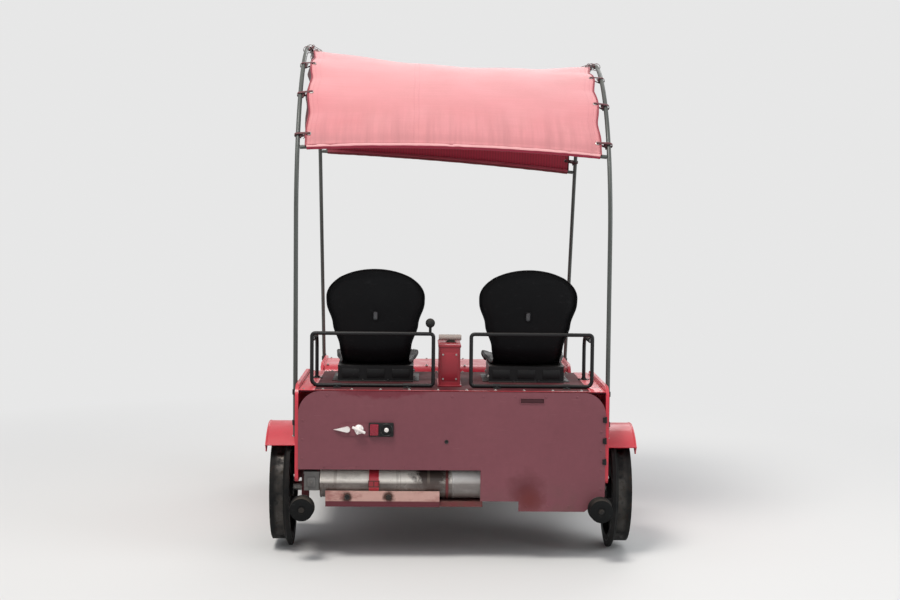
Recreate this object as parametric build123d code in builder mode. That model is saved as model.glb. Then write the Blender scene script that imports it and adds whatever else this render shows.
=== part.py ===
from build123d import *
import math
import os

os.makedirs("parts", exist_ok=True)

# A two-seat pedal rail car, in millimetres. +X is to the right, +Y ahead, +Z up.
# The origin is on the ground under the middle of the car, level with the lowest points of the wheel flanges.

# Wheels and axles
tread_radius = 230.0
flange_depth = 27.0
flange_width = 28.0
tread_width = 56.0
flange_back_x = 684.0
wheel_rim_depth = 24.0
wheel_web = 10.0
wheel_web_inset = 24.0
wheel_hub_radius = 46.0
shaft_radius = 20.0
shaft_end_past_wheel = 8.0
flange_radius = tread_radius + flange_depth
axle_z = flange_radius
wheel_face_x = flange_back_x + flange_width + tread_width

# Body: its length, its width between the wheels, and where things stand along it
body_length = 2260.0
side_sheet = 14.0
wheel_side_gap = 30.0
rear_axle_inset = 330.0
wheel_base = 1500.0
seat_box_length = 750.0
cowl_length = 630.0
crank_to_cowl = 250.0
seat_box_to_member = 280.0
body_rear = -body_length / 2
body_front = body_length / 2
side_outer = flange_back_x - wheel_side_gap
body_half = side_outer - side_sheet
rear_axle_y = body_rear + rear_axle_inset
front_axle_y = rear_axle_y + wheel_base
seat_box_front_y = body_rear + seat_box_length
cowl_foot_y = body_front - cowl_length
crank_y = cowl_foot_y - crank_to_cowl
mid_member_y = seat_box_front_y + seat_box_to_member

# Sheet metal
sheet = 6.0
floor_sheet = 4.0
slot_clearance = 10.0

# Stowage tube between the rear beam and the tow bar
stow_radius = 60.0
stow_left = -550.0
stow_drop = 74.0
stow_gap = 5.0
stow_clearance = 2.0
tow_sheet = 12.0

# Frame of square and flat tubes, with the axles under it
frame_over_axle = 73.0
tube_height = 60.0
tube_width = 40.0
rail_x = 450.0
box_length = 100.0
box_wall = 22.0
box_side = 10.0
frame_bottom = axle_z + frame_over_axle
frame_top = frame_bottom + tube_height
beam_inset = sheet + tow_sheet + stow_clearance + 2 * stow_radius + stow_gap + tube_width / 2
beam_y = body_front - beam_inset
beam_back = -(beam_y + tube_width / 2)

# Heights above the frame
deck_height = 325.0
side_lip = 20.0
entry_height = 80.0
cowl_height = 250.0
floor_top = frame_top + floor_sheet
deck_top = frame_top + deck_height
side_top = deck_top + side_lip
entry_z = frame_top + entry_height
cowl_z = frame_top + cowl_height

# Outline of the sides and of the front cowl
step_back, step_ahead = 40.0, 50.0
entry_gap = 70.0
side_over_cowl = 14.0
side_ahead_of_cowl = 30.0
cowl_foot_height = 40.0
cowl_slope = 90.0
nose_slope = 135.0
nose_drop = 120.0

# Fenders
fender_overhang = 22.0
fender_sheet = 4.0
fender_gap = 23.0
fender_lip_depth = 44.0
fender_start_angle, fender_end_angle = 32.0, 133.0
fender_half = wheel_face_x + fender_overhang
fender_inner = flange_radius + fender_gap
fender_outer = fender_inner + fender_sheet

# Buffers
buffer_length = 70.0
buffer_radius = 47.0
buffer_drop = 30.0
buffer_inset = 20.0
buffer_arm = 30.0
buffer_z = axle_z - buffer_drop
buffer_x = body_half - buffer_inset

# Rear panel with its cut-out for the stowage tube, and its latch plate
panel_height = 500.0
panel_drop = 2.0
panel_corner = 95.0
panel_chamfer_x, panel_chamfer_z = 85.0, 65.0
cut_drop = 5.0
cut_right = 120.0
step_width = 160.0
step_rise = 42.0
latch_x = -400.0
latch_drop = 160.0
latch_width, latch_height, latch_corner = 130.0, 50.0, 12.0
latch_sheet = 4.0
panel_top = deck_top - panel_drop
panel_low = panel_top - panel_height
cut_top = frame_top - cut_drop

# The stowage tube's strap, its shelf and the tow bars
strap_x = -324.5
strap_width = 41.0
strap_sheet = 4.0
strap_block = 30.0
strap_block_rise = 39.0
shelf_gap = 8.0
shelf_sheet = 20.0
shelf_past_cut = 10.0
shelf_inset = 9.0
shelf_under_beam = 25.0
shelf_lug = 20.0
tow_height = 65.0
tow_right = -50.0
tow_hole_radius = 7.0
tow_hole_x = -349.0
tow_hole_spacing = 172.0
tow_hole_edge = 91.0
tow_hole_drop = 24.0
nose_hole_spacing = 140.0
nose_hole_edge = 40.0
bracket_gap = 4.0
bracket_width = 62.0
bracket_height = 78.0
bracket_drop = 20.0
stow_right = cut_right
stow_y = beam_back - stow_gap - stow_radius
stow_z = frame_top - stow_drop
shelf_top = stow_z - stow_radius - shelf_gap
shelf_low = shelf_top - shelf_sheet
tow_top = shelf_low + tow_height
tow_hole_z = tow_top - tow_hole_drop
tow_left = tow_hole_x - tow_hole_spacing / 2 - tow_hole_edge
shelf_left = tow_left + shelf_inset
shelf_right = cut_right + shelf_past_cut
nose_bar_half = nose_hole_spacing / 2 + nose_hole_edge

# Seats
seat_x = 330.0
seat_width = 420.0
seat_shell = 9.0
seat_height = 490.0
seat_waist = 356.0
waist_rise = 215.0
waist_radius = 150.0
seat_crown = 122.0
shoulder_drop = 36.0
shoulder_radius = 110.0
seat_foot_inset = 10.0
seat_overhang = 70.0
pan_depth = 350.0
pan_front_rise, pan_rear_rise = 85.0, 67.0
back_lean = 105.0
lip_reach, lip_drop = 35.0, 30.0
lip_radius, back_radius = 25.0, 110.0
bolster_ahead = 36.0
bolster_rise = 26.0
base_half = 165.0
base_front_inset, base_rear_inset = 30.0, 30.0
seat_gap = 0.3
seat_top = deck_top + seat_height
seat_waist_z = deck_top + waist_rise
pan_front_y = seat_box_front_y - seat_overhang
pan_rear_y = pan_front_y - pan_depth
pan_front_z, pan_rear_z = deck_top + pan_front_rise, deck_top + pan_rear_rise
back_top_y = pan_rear_y - back_lean

# Guards round the seats
guard_radius = 8.0
guard_inner = 80.0
guard_edge = 47.0
guard_inset = 130.0
guard_height = 228.0
guard_reach = 330.0
guard_corner, guard_foot_corner, arm_corner = 14.0, 26.0, 60.0
arm_height = 200.0
knob_radius = 20.0
knob_rise = 38.0
knob_neck = 6.0
guard_outer = body_half - guard_edge
guard_y = body_rear + guard_inset
guard_top = deck_top + guard_height
arm_z = deck_top + arm_height

# Console and brake
console_left, console_right = -56.0, 36.0
console_corner = 12.0
console_behind = 40.0
console_length = 260.0
console_height = 175.0
lever_x = -3.0
lever_radius = 7.0
lever_rise = 24.0
grip_radius = 9.0
grip_half = 42.0
brake_tube_radius = 15.0
brake_hanger = 8.0
shoe_gap = 7.0
shoe_thick = 63.0
shoe_wall = 6.0
shoe_height = 110.0
console_rear = guard_y + console_behind
console_front = console_rear + console_length
console_top = deck_top + console_height
lever_y = (console_rear + console_front) / 2
tread_front_y = rear_axle_y + tread_radius
brake_y = tread_front_y + shoe_gap + shoe_thick

# Pedal drive
crank_x = 330.0
crank_rise = 256.0
crank_length = 165.0
crank_angle = 30.0
crank_boss, crank_eye = 19.0, 14.0
spindle_radius = 10.0
housing_radius = 28.0
housing_half = 40.0
ring_gap, ring_width = 6.0, 6.0
arm_gap, arm_width = 8.0, 14.0
ring_radius = 88.0
ring_teeth = 36
ring_windows = 5
window_radius = 16.0
window_circle = 53.0
sprocket_radius = 43.0
sprocket_teeth = 18
tooth_radius = 3.2
chain_gap = 0.4
chain_height = 8.0
chain_width = 8.0
pedal_pin_radius = 6.0
pedal_width = 92.0
pedal_length = 88.0
pedal_height = 22.0
pedal_corner = 6.0
pedal_gap = 6.0
pin_clearance = 0.3
crank_post = 40.0
crank_z = floor_top + crank_rise
ring_inner = housing_half + ring_gap
ring_outer = ring_inner + ring_width
arm_inner = ring_outer + arm_gap
arm_outer = arm_inner + arm_width
chain_x = crank_x - (ring_inner + ring_outer) / 2

# Canopy hoops and cloth
hoop_radius = 9.5
hoop_inset = 150.0
hoop_bend = 800.0
crown_flat = 40.0
crest_left, crest_right = 2215.0, 2145.0
hoop_foot_gap = 19.0
front_foot_inset = 110.0
front_foot_height = 170.0
rear_hem_left, rear_hem_right = 1726.0, 1697.0
front_bar_back_left, front_bar_back_right = 5.4, 2.0
rear_bow, front_bow = 25.0, 12.0
bar_radius = 8.5
bar_gap = 0.9
cloth_edge = 29.0
cloth_sheet = 6.0
cloth_gap = 0.5
hem_overlap_angle = 1.5
cloth_drop = 25.0
cloth_sag = 45.0
hoop_x = side_outer + hoop_radius
hoop_y = body_rear + hoop_inset
front_foot_y = body_front - front_foot_inset
front_foot_z = frame_top + front_foot_height
cloth_half = side_outer - cloth_edge


def save(builder, name):
    """Labels a finished piece and writes it."""
    builder.part.label = name
    export_step(builder.part, f"parts/{name}.step")


# Wheels: a flange, a tread, a web and a hub, turned round the axle
wheels = [
    # name, axle y, side
    ("rear_wheel_left", rear_axle_y, -1),
    ("rear_wheel_right", rear_axle_y, 1),
    ("front_wheel_left", front_axle_y, -1),
    ("front_wheel_right", front_axle_y, 1),
]
rim_radius = tread_radius - wheel_rim_depth
web_x = flange_back_x + wheel_web_inset
for name, y, side in wheels:
    with BuildPart() as wheel:
        with BuildSketch(Plane.XY.offset(axle_z)):
            with BuildLine():
                Polyline(
                    (side * flange_back_x, y + shaft_radius),
                    (side * flange_back_x, y + wheel_hub_radius),
                    (side * web_x, y + wheel_hub_radius),
                    (side * web_x, y + rim_radius),
                    (side * flange_back_x, y + rim_radius),
                    (side * flange_back_x, y + flange_radius),
                    (side * (flange_back_x + flange_width / 2), y + flange_radius),
                    (side * (flange_back_x + flange_width), y + tread_radius),
                    (side * wheel_face_x, y + tread_radius),
                    (side * wheel_face_x, y + rim_radius),
                    (side * (web_x + wheel_web), y + rim_radius),
                    (side * (web_x + wheel_web), y + wheel_hub_radius),
                    (side * wheel_face_x, y + wheel_hub_radius),
                    (side * wheel_face_x, y + shaft_radius),
                    close=True,
                )
            make_face()
        revolve(axis=Axis((0, y, axle_z), (1, 0, 0)))
    save(wheel, name)

# Axle shafts, and the two driven sprockets on the rear one
shaft_half = wheel_face_x + shaft_end_past_wheel
for name, y in (("rear_shaft", rear_axle_y), ("front_shaft", front_axle_y)):
    with BuildPart() as shaft:
        with BuildSketch(Plane.YZ):
            with Locations((y, axle_z)):
                Circle(shaft_radius)
        extrude(amount=shaft_half, both=True)
    save(shaft, name)

with BuildPart() as rear_sprockets:
    for side in (-1, 1):
        with BuildSketch(Plane.YZ.offset(side * chain_x)):
            with Locations((rear_axle_y, axle_z)):
                Circle(sprocket_radius)
                with PolarLocations(sprocket_radius, sprocket_teeth):
                    Circle(tooth_radius, mode=Mode.SUBTRACT)
                Circle(shaft_radius, mode=Mode.SUBTRACT)
        extrude(amount=ring_width / 2, both=True)
save(rear_sprockets, "rear_sprockets")

# Axle boxes hang under the side rails
box_low = axle_z - shaft_radius - box_wall
with BuildPart() as axle_boxes:
    for y in (rear_axle_y, front_axle_y):
        for side in (-1, 1):
            with BuildSketch(Plane.YZ.offset(side * rail_x)):
                with Locations((y, (box_low + frame_bottom) / 2)):
                    Rectangle(box_length, frame_bottom - box_low)
                with Locations((y, axle_z)):
                    Circle(shaft_radius + pin_clearance, mode=Mode.SUBTRACT)
            extrude(amount=tube_width / 2 + box_side, both=True)
save(axle_boxes, "axle_boxes")

# Side rails between the end beams
with BuildPart() as frame_rails:
    for side in (-1, 1):
        with BuildSketch(Plane.XZ):
            with Locations((side * rail_x, frame_top - tube_height / 2)):
                Rectangle(tube_width, tube_height)
        extrude(amount=beam_y - tube_width / 2, both=True)
save(frame_rails, "frame_rails")

# End beams, members between the rails, and outriggers from the rails to the sides
rail_inner = rail_x - tube_width / 2
rail_outer = rail_x + tube_width / 2
spans = [
    # left end, right end
    (-body_half, -rail_outer),
    (-rail_inner, rail_inner),
    (rail_outer, body_half),
]
members = [
    # y, left end, right end
    (-beam_y, -body_half, body_half),
    (beam_y, -body_half, body_half),
]
members += [(y, left, right) for y in (mid_member_y, crank_y) for left, right in spans]
with BuildPart() as cross_members:
    for y, left, right in members:
        with BuildSketch(Plane.YZ.offset(left)):
            with Locations((y, frame_top - tube_height / 2)):
                Rectangle(tube_width, tube_height)
        extrude(amount=right - left)
save(cross_members, "cross_members")

# Chain runs: the hulls of two circles, one round the chainring and one round the driven sprocket


def run_outline(margin):
    """The outline that stands margin outside both toothed wheels of one chain."""
    with BuildSketch(Plane.XY, mode=Mode.PRIVATE) as outline:
        with Locations((crank_y, crank_z)):
            Circle(ring_radius + margin)
        with Locations((rear_axle_y, axle_z)):
            Circle(sprocket_radius + margin)
        make_hull()
    return outline.sketch


chain_outer = run_outline(chain_gap + chain_height)
chain_inner = run_outline(chain_gap)
chain_room = run_outline(chain_gap + chain_height + slot_clearance)
with BuildPart() as chains:
    for side in (-1, 1):
        with BuildSketch(Plane.YZ.offset(side * chain_x)):
            add(chain_outer)
            add(chain_inner, mode=Mode.SUBTRACT)
        extrude(amount=chain_width / 2, both=True)
save(chains, "chains")

# Floor pan, open where the chains come through
with BuildPart() as floor_pan:
    with BuildSketch(Plane.XY.offset(frame_top)):
        with Locations((0, (seat_box_front_y + body_front - sheet) / 2)):
            Rectangle(2 * body_half, body_front - sheet - seat_box_front_y)
    extrude(amount=floor_sheet)
    for side in (-1, 1):
        with BuildSketch(Plane.YZ.offset(side * chain_x)):
            add(chain_room)
        extrude(amount=chain_width / 2 + slot_clearance, both=True, mode=Mode.SUBTRACT)
save(floor_pan, "floor_pan")

# Seat box: front sheet and deck
with BuildPart() as seat_box_front:
    with BuildSketch(Plane.XZ.offset(-seat_box_front_y)):
        with Locations((0, (frame_top + deck_top - sheet) / 2)):
            Rectangle(2 * body_half, deck_top - sheet - frame_top)
    extrude(amount=sheet)
    for side in (-1, 1):
        with BuildSketch(Plane.YZ.offset(side * chain_x)):
            add(chain_room)
        extrude(amount=chain_width / 2 + slot_clearance, both=True, mode=Mode.SUBTRACT)
save(seat_box_front, "seat_box_front")

with BuildPart() as seat_deck:
    with BuildSketch(Plane.XY.offset(deck_top - sheet)):
        with Locations((0, (body_rear + sheet + seat_box_front_y) / 2)):
            Rectangle(2 * body_half, seat_box_front_y - body_rear - sheet)
    extrude(amount=sheet)
save(seat_deck, "seat_deck")

# Side panels: high beside the seats, low at the entry, and round at the nose
cowl_break_y = cowl_foot_y + cowl_slope
nose_top_y = body_front - nose_slope
nose_z = cowl_z - nose_drop
side_outline = [
    # y, z, corner radius
    (body_rear + sheet, frame_bottom, 20),
    (body_rear + sheet, side_top, 60),
    (seat_box_front_y - step_back, side_top, 90),
    (seat_box_front_y + step_ahead, entry_z, 60),
    (cowl_foot_y - entry_gap, entry_z, 60),
    (cowl_break_y - side_ahead_of_cowl, cowl_z + side_over_cowl, 80),
    (nose_top_y, cowl_z + side_over_cowl, 120),
    (body_front, nose_z + side_over_cowl, 60),
    (body_front, frame_bottom, 20),
]
for name, side in (("side_panel_left", -1), ("side_panel_right", 1)):
    with BuildPart() as side_panel:
        with BuildSketch(Plane.YZ.offset(side * (body_half + side_sheet / 2))):
            with BuildLine():
                FilletPolyline(
                    *[(y, z) for y, z, radius in side_outline],
                    radius=[radius for y, z, radius in side_outline],
                    close=True,
                )
            make_face()
        extrude(amount=side_sheet / 2, both=True)
    save(side_panel, name)

# Front cowl: one bent sheet between the side panels
cowl_outline = [
    # y, z, bend radius at a point between two runs
    (cowl_foot_y, floor_top, 0),
    (cowl_foot_y, floor_top + cowl_foot_height, 20),
    (cowl_break_y, cowl_z, 60),
    (nose_top_y, cowl_z, 120),
    (body_front, nose_z, 60),
    (body_front, frame_bottom, 0),
]
with BuildPart() as front_cowl:
    with BuildSketch(Plane.YZ):
        with BuildLine():
            FilletPolyline(
                *[(y, z) for y, z, radius in cowl_outline],
                radius=[radius for y, z, radius in cowl_outline[1:-1]],
            )
            offset(amount=sheet, side=Side.RIGHT)
        make_face()
    extrude(amount=body_half, both=True)
save(front_cowl, "front_cowl")

# Rear panel
with BuildPart() as rear_panel:
    with BuildSketch(Plane.XZ.offset(-body_rear)):
        with BuildLine():
            Polyline(
                (-body_half, cut_top),
                (-body_half, panel_top),
                (body_half, panel_top),
                (body_half, panel_low + panel_chamfer_z),
                (body_half - panel_chamfer_x, panel_low),
                (cut_right + step_width, panel_low),
                (cut_right + step_width, panel_low + step_rise),
                (cut_right, panel_low + step_rise),
                (cut_right, cut_top),
                close=True,
            )
        make_face()
        fillet(vertices().group_by(Axis.Y)[-1], panel_corner)
    extrude(amount=-sheet)
save(rear_panel, "rear_panel")

# Fenders: an arc of sheet over each wheel with a lip down its outer edge
fender_sheets = [
    # inner radius, near face from the middle, thickness across
    (fender_inner, side_outer, fender_half - side_outer),
    (fender_outer - fender_lip_depth, fender_half - fender_sheet, fender_sheet),
]
fender_sweep = fender_end_angle - fender_start_angle
corners = [(side, y) for y in (rear_axle_y, front_axle_y) for side in (-1, 1)]
with BuildPart() as fenders:
    for side, y in corners:
        for inner, near, across in fender_sheets:
            with BuildSketch(Plane.YZ.offset(side * near)):
                with BuildLine():
                    low = CenterArc((y, axle_z), inner, fender_start_angle, fender_sweep)
                    high = CenterArc((y, axle_z), fender_outer, fender_start_angle, fender_sweep)
                    Line(low @ 0, high @ 0)
                    Line(low @ 1, high @ 1)
                make_face()
            extrude(amount=side * across)
save(fenders, "fenders")

# Buffers on their arms, which hang from the end beams
ends = [(end, side) for end in (-1, 1) for side in (-1, 1)]
with BuildPart() as buffers:
    for end, side in ends:
        with BuildSketch(Plane.XZ.offset(-end * body_front)):
            with Locations((side * buffer_x, buffer_z)):
                Circle(buffer_radius)
        extrude(amount=-end * buffer_length)
save(buffers, "buffers")

arm_back = beam_y - tube_width / 2
with BuildPart() as buffer_arms:
    for end, side in ends:
        with BuildSketch(Plane.YZ.offset(side * buffer_x)):
            with BuildLine():
                Polyline(
                    (end * body_front, buffer_z - buffer_arm / 2),
                    (end * body_front, buffer_z + buffer_arm / 2),
                    (end * (arm_back + tube_width), buffer_z + buffer_arm / 2),
                    (end * (arm_back + tube_width), frame_bottom),
                    (end * arm_back, frame_bottom),
                    (end * arm_back, buffer_z - buffer_arm / 2),
                    close=True,
                )
            make_face()
        extrude(amount=buffer_arm / 2, both=True)
save(buffer_arms, "buffer_arms")

# Stowage tube behind the cut-out, held by its strap against the rear beam
with BuildPart() as stowage_tube:
    with BuildSketch(Plane.YZ.offset(stow_left)):
        with Locations((stow_y, stow_z)):
            Circle(stow_radius)
    extrude(amount=stow_right - stow_left)
save(stowage_tube, "stowage_tube")

with BuildPart() as stowage_strap:
    with BuildSketch(Plane.YZ.offset(strap_x)):
        with Locations((stow_y, stow_z)):
            Circle(stow_radius + strap_sheet)
        with Locations(((stow_y + beam_back) / 2, stow_z + strap_block_rise)):
            Rectangle(beam_back - stow_y, strap_block)
        with Locations((stow_y, (shelf_top + stow_z) / 2)):
            Rectangle(strap_block, stow_z - shelf_top)
        with Locations((stow_y, stow_z)):
            Circle(stow_radius, mode=Mode.SUBTRACT)
    extrude(amount=strap_width / 2, both=True)
save(stowage_strap, "stowage_strap")

# Shelf under the tube, hung from the rear beam, with the tow bar on its rear edge
shelf_rear = body_rear + sheet + tow_sheet
shelf_front = beam_back + shelf_under_beam
with BuildPart() as stowage_shelf:
    with BuildSketch(Plane.YZ.offset(shelf_left)):
        with Locations(((shelf_rear + shelf_front) / 2, (shelf_low + shelf_top) / 2)):
            Rectangle(shelf_front - shelf_rear, shelf_sheet)
    extrude(amount=shelf_right - shelf_left)
    for left in (shelf_left, shelf_right - shelf_lug):
        with BuildSketch(Plane.YZ.offset(left)):
            with Locations(((beam_back + shelf_front) / 2, (shelf_low + frame_bottom) / 2)):
                Rectangle(shelf_under_beam, frame_bottom - shelf_low)
        extrude(amount=shelf_lug)
save(stowage_shelf, "stowage_shelf")

bracket_x = stow_left - bracket_gap - bracket_width / 2
bracket_z = frame_top - bracket_drop - bracket_height / 2
with BuildPart() as grey_box:
    with BuildSketch(Plane.XZ.offset(-beam_back)):
        with Locations((bracket_x, bracket_z)):
            Rectangle(bracket_width, bracket_height)
    extrude(amount=2 * stow_radius)
save(grey_box, "grey_box")

# Tow bars: one on the shelf's rear edge, one under the nose, each with two holes for a coupling
bars = [
    # left, right, top, near face y, holes' middle x, hole spacing
    (tow_left, tow_right, tow_top, shelf_rear, tow_hole_x, tow_hole_spacing),
    (-nose_bar_half, nose_bar_half, frame_top, -beam_back + tow_sheet, 0, nose_hole_spacing),
]
with BuildPart() as tow_bars:
    for left, right, top, near_y, hole_x, spacing in bars:
        with BuildSketch(Plane.XZ.offset(-near_y)):
            with Locations(((left + right) / 2, (shelf_low + top) / 2)):
                Rectangle(right - left, top - shelf_low)
            with Locations((hole_x, tow_hole_z)):
                with GridLocations(spacing, 0, 2, 1):
                    Circle(tow_hole_radius, mode=Mode.SUBTRACT)
        extrude(amount=tow_sheet)
save(tow_bars, "tow_bars")

# A plain latch plate on the rear panel
with BuildPart() as latch_plate:
    with BuildSketch(Plane.XZ.offset(-body_rear)):
        with Locations((latch_x, panel_top - latch_drop)):
            RectangleRounded(latch_width, latch_height, latch_corner)
    extrude(amount=latch_sheet)
save(latch_plate, "latch_plate")

# Seats: a bent shell lofted over its two raised edges and its middle, then trimmed to its outline
seat_lines = [
    # x from the seat's middle, how far the back comes ahead, how far the pan rises
    (-seat_width / 2, bolster_ahead, bolster_rise),
    (0, 0, 0),
    (seat_width / 2, bolster_ahead, bolster_rise),
]
seat_crown_z = seat_top - seat_crown
seat_side = [
    # half width, z, bend radius at a point between two runs
    (seat_width / 2 - seat_foot_inset, deck_top, 0),
    (seat_waist / 2, seat_waist_z, waist_radius),
    (seat_width / 2, seat_crown_z - shoulder_drop, shoulder_radius),
    (seat_width / 2, seat_crown_z, 0),
]
for name, side in (("seat_shell_left", -1), ("seat_shell_right", 1)):
    with BuildPart() as seat_shell_part:
        for x, ahead, rise in seat_lines:
            with BuildSketch(Plane.YZ.offset(side * seat_x + x)):
                with BuildLine():
                    FilletPolyline(
                        (pan_front_y + lip_reach, pan_front_z - lip_drop + rise),
                        (pan_front_y, pan_front_z + rise),
                        (pan_rear_y + ahead, pan_rear_z + rise),
                        (back_top_y + ahead, seat_top + seat_shell),
                        radius=[lip_radius, back_radius],
                    )
                    offset(amount=seat_shell, side=Side.RIGHT)
                make_face()
        loft()
        with BuildSketch(Plane.XZ):
            with BuildLine():
                for edge in (-1, 1):
                    FilletPolyline(
                        *[(side * seat_x + edge * half, z) for half, z, radius in seat_side],
                        radius=[radius for half, z, radius in seat_side[1:-1]],
                    )
                EllipticalCenterArc(
                    (side * seat_x, seat_crown_z), seat_width / 2, seat_crown, arc_size=180
                )
                foot_half = seat_width / 2 - seat_foot_inset
                Line((side * seat_x - foot_half, deck_top), (side * seat_x + foot_half, deck_top))
            make_face()
        extrude(amount=-body_rear, mode=Mode.INTERSECT)
    save(seat_shell_part, name)

# Seat bases: a plinth under each shell, whose sloping top follows the middle of the pan
pan_slope = (pan_front_z - pan_rear_z) / (pan_front_y - pan_rear_y)
base_front_y = pan_front_y - base_front_inset
base_rear_y = pan_rear_y + base_rear_inset
with BuildPart() as seat_bases:
    for side in (-1, 1):
        with BuildSketch(Plane.YZ.offset(side * seat_x)):
            with BuildLine():
                Polyline(
                    (base_rear_y, deck_top),
                    (base_rear_y, pan_rear_z + pan_slope * (base_rear_y - pan_rear_y) - seat_gap),
                    (base_front_y, pan_rear_z + pan_slope * (base_front_y - pan_rear_y) - seat_gap),
                    (base_front_y, deck_top),
                    close=True,
                )
            make_face()
        extrude(amount=base_half, both=True)
save(seat_bases, "seat_bases")

# Guards: a tube loop behind each seat, and an arm rest ahead from its outer corner
for name, side in (("seat_guard_left", -1), ("seat_guard_right", 1)):
    guard_low = deck_top + guard_radius
    with BuildPart() as seat_guard:
        with BuildLine() as loop:
            FilletPolyline(
                (side * guard_inner, guard_y, guard_low),
                (side * guard_inner, guard_y, guard_top),
                (side * guard_outer, guard_y, guard_top),
                (side * guard_outer, guard_y, guard_low),
                radius=[guard_corner, guard_corner, guard_corner, guard_foot_corner],
                close=True,
            )
        with BuildSketch(Plane(origin=loop.line @ 0, z_dir=loop.line % 0)):
            Circle(guard_radius)
        sweep(path=loop.line)
        with BuildLine() as rest:
            FilletPolyline(
                (side * guard_outer, guard_y, arm_z),
                (side * guard_outer, guard_y + guard_reach, arm_z),
                (side * guard_outer, guard_y + guard_reach, deck_top),
                radius=arm_corner,
            )
        with BuildSketch(Plane(origin=rest.line @ 0, z_dir=rest.line % 0)):
            Circle(guard_radius)
        sweep(path=rest.line)
    save(seat_guard, name)

# A knob on a neck, on the inner corner of the left guard
knob_x = -(guard_inner + guard_corner)
with BuildPart() as guard_knob:
    with BuildSketch(Plane.XY.offset(guard_top + guard_radius)):
        with Locations((knob_x, guard_y)):
            Circle(knob_neck)
    extrude(amount=knob_rise)
    with Locations((knob_x, guard_y, guard_top + guard_radius + knob_rise)):
        Sphere(knob_radius)
save(guard_knob, "guard_knob")

# Console between the seats, with the brake's T-shaped pull on it
with BuildPart() as console:
    with BuildSketch(Plane.XY.offset(deck_top)):
        with Locations(((console_left + console_right) / 2, (console_rear + console_front) / 2)):
            RectangleRounded(console_right - console_left, console_length, console_corner)
    extrude(amount=console_height)
save(console, "console")

with BuildPart() as brake_lever:
    with BuildSketch(Plane.XY.offset(console_top)):
        with Locations((lever_x, lever_y)):
            Circle(lever_radius)
    extrude(amount=lever_rise)
    with BuildSketch(Plane.YZ.offset(lever_x)):
        with Locations((lever_y, console_top + lever_rise)):
            Circle(grip_radius)
    extrude(amount=grip_half, both=True)
save(brake_lever, "brake_lever")

# Brake beam ahead of the rear wheels, with a shoe before each tread
with BuildPart() as brake_beam:
    with BuildSketch(Plane.YZ):
        with Locations((brake_y, axle_z)):
            Circle(brake_tube_radius)
    extrude(amount=wheel_face_x, both=True)
    for side in (-1, 1):
        with BuildSketch(Plane.YZ.offset(side * rail_x)):
            with Locations((brake_y, (axle_z + frame_bottom) / 2)):
                Rectangle(2 * brake_tube_radius, frame_bottom - axle_z)
        extrude(amount=brake_hanger / 2, both=True)
save(brake_beam, "brake_beam")

shoe_x = flange_back_x + flange_width + shoe_gap
shoe_front_y = brake_y + brake_tube_radius + shoe_wall
with BuildPart() as brake_shoes:
    for side in (-1, 1):
        with BuildSketch(Plane.YZ.offset(side * shoe_x)):
            with Locations(((tread_front_y + shoe_front_y) / 2, axle_z)):
                Rectangle(shoe_front_y - tread_front_y, shoe_height)
            with Locations((rear_axle_y, axle_z)):
                Circle(tread_radius + shoe_gap, mode=Mode.SUBTRACT)
            with Locations((brake_y, axle_z)):
                Circle(brake_tube_radius, mode=Mode.SUBTRACT)
        extrude(amount=side * (wheel_face_x - shoe_x))
save(brake_shoes, "brake_shoes")

# Crank posts: a square tube with a bearing housing across its top
with BuildPart() as crank_posts:
    for side in (-1, 1):
        with BuildSketch(Plane.XY.offset(floor_top)):
            with Locations((side * crank_x, crank_y)):
                Rectangle(crank_post, crank_post)
        extrude(amount=crank_z - floor_top)
        with BuildSketch(Plane.YZ.offset(side * crank_x)):
            with Locations((crank_y, crank_z)):
                Circle(housing_radius)
        extrude(amount=housing_half, both=True)
        with BuildSketch(Plane.YZ.offset(side * crank_x)):
            with Locations((crank_y, crank_z)):
                Circle(spindle_radius + pin_clearance)
        extrude(amount=housing_half, both=True, mode=Mode.SUBTRACT)
save(crank_posts, "crank_posts")

# Crank sets: spindle, two arms, a chainring on the inner side, and a pin for each pedal
pedal_inner = arm_outer + pedal_gap
reach_y = crank_length * math.cos(math.radians(crank_angle))
reach_z = crank_length * math.sin(math.radians(crank_angle))
for name, side in (("crank_left", -1), ("crank_right", 1)):
    with BuildPart() as crank:
        with BuildSketch(Plane.YZ.offset(side * crank_x)):
            with Locations((crank_y, crank_z)):
                Circle(spindle_radius)
        extrude(amount=arm_outer, both=True)
        with BuildSketch(Plane.YZ.offset(side * (crank_x - ring_outer))):
            with Locations((crank_y, crank_z)):
                Circle(ring_radius)
                with PolarLocations(ring_radius, ring_teeth):
                    Circle(tooth_radius, mode=Mode.SUBTRACT)
                with PolarLocations(window_circle, ring_windows):
                    Circle(window_radius, mode=Mode.SUBTRACT)
        extrude(amount=side * ring_width)
        for end in (-1, 1):
            pin_y, pin_z = crank_y + end * reach_y, crank_z + end * reach_z
            with BuildSketch(Plane.YZ.offset(side * crank_x + end * arm_inner)):
                with Locations((crank_y, crank_z)):
                    Circle(crank_boss)
                with Locations((pin_y, pin_z)):
                    Circle(crank_eye)
                make_hull()
            extrude(amount=end * arm_width)
            with BuildSketch(Plane.YZ.offset(side * crank_x + end * arm_outer)):
                with Locations((pin_y, pin_z)):
                    Circle(pedal_pin_radius)
            extrude(amount=end * (pedal_gap + pedal_width))
    save(crank, name)

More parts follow.
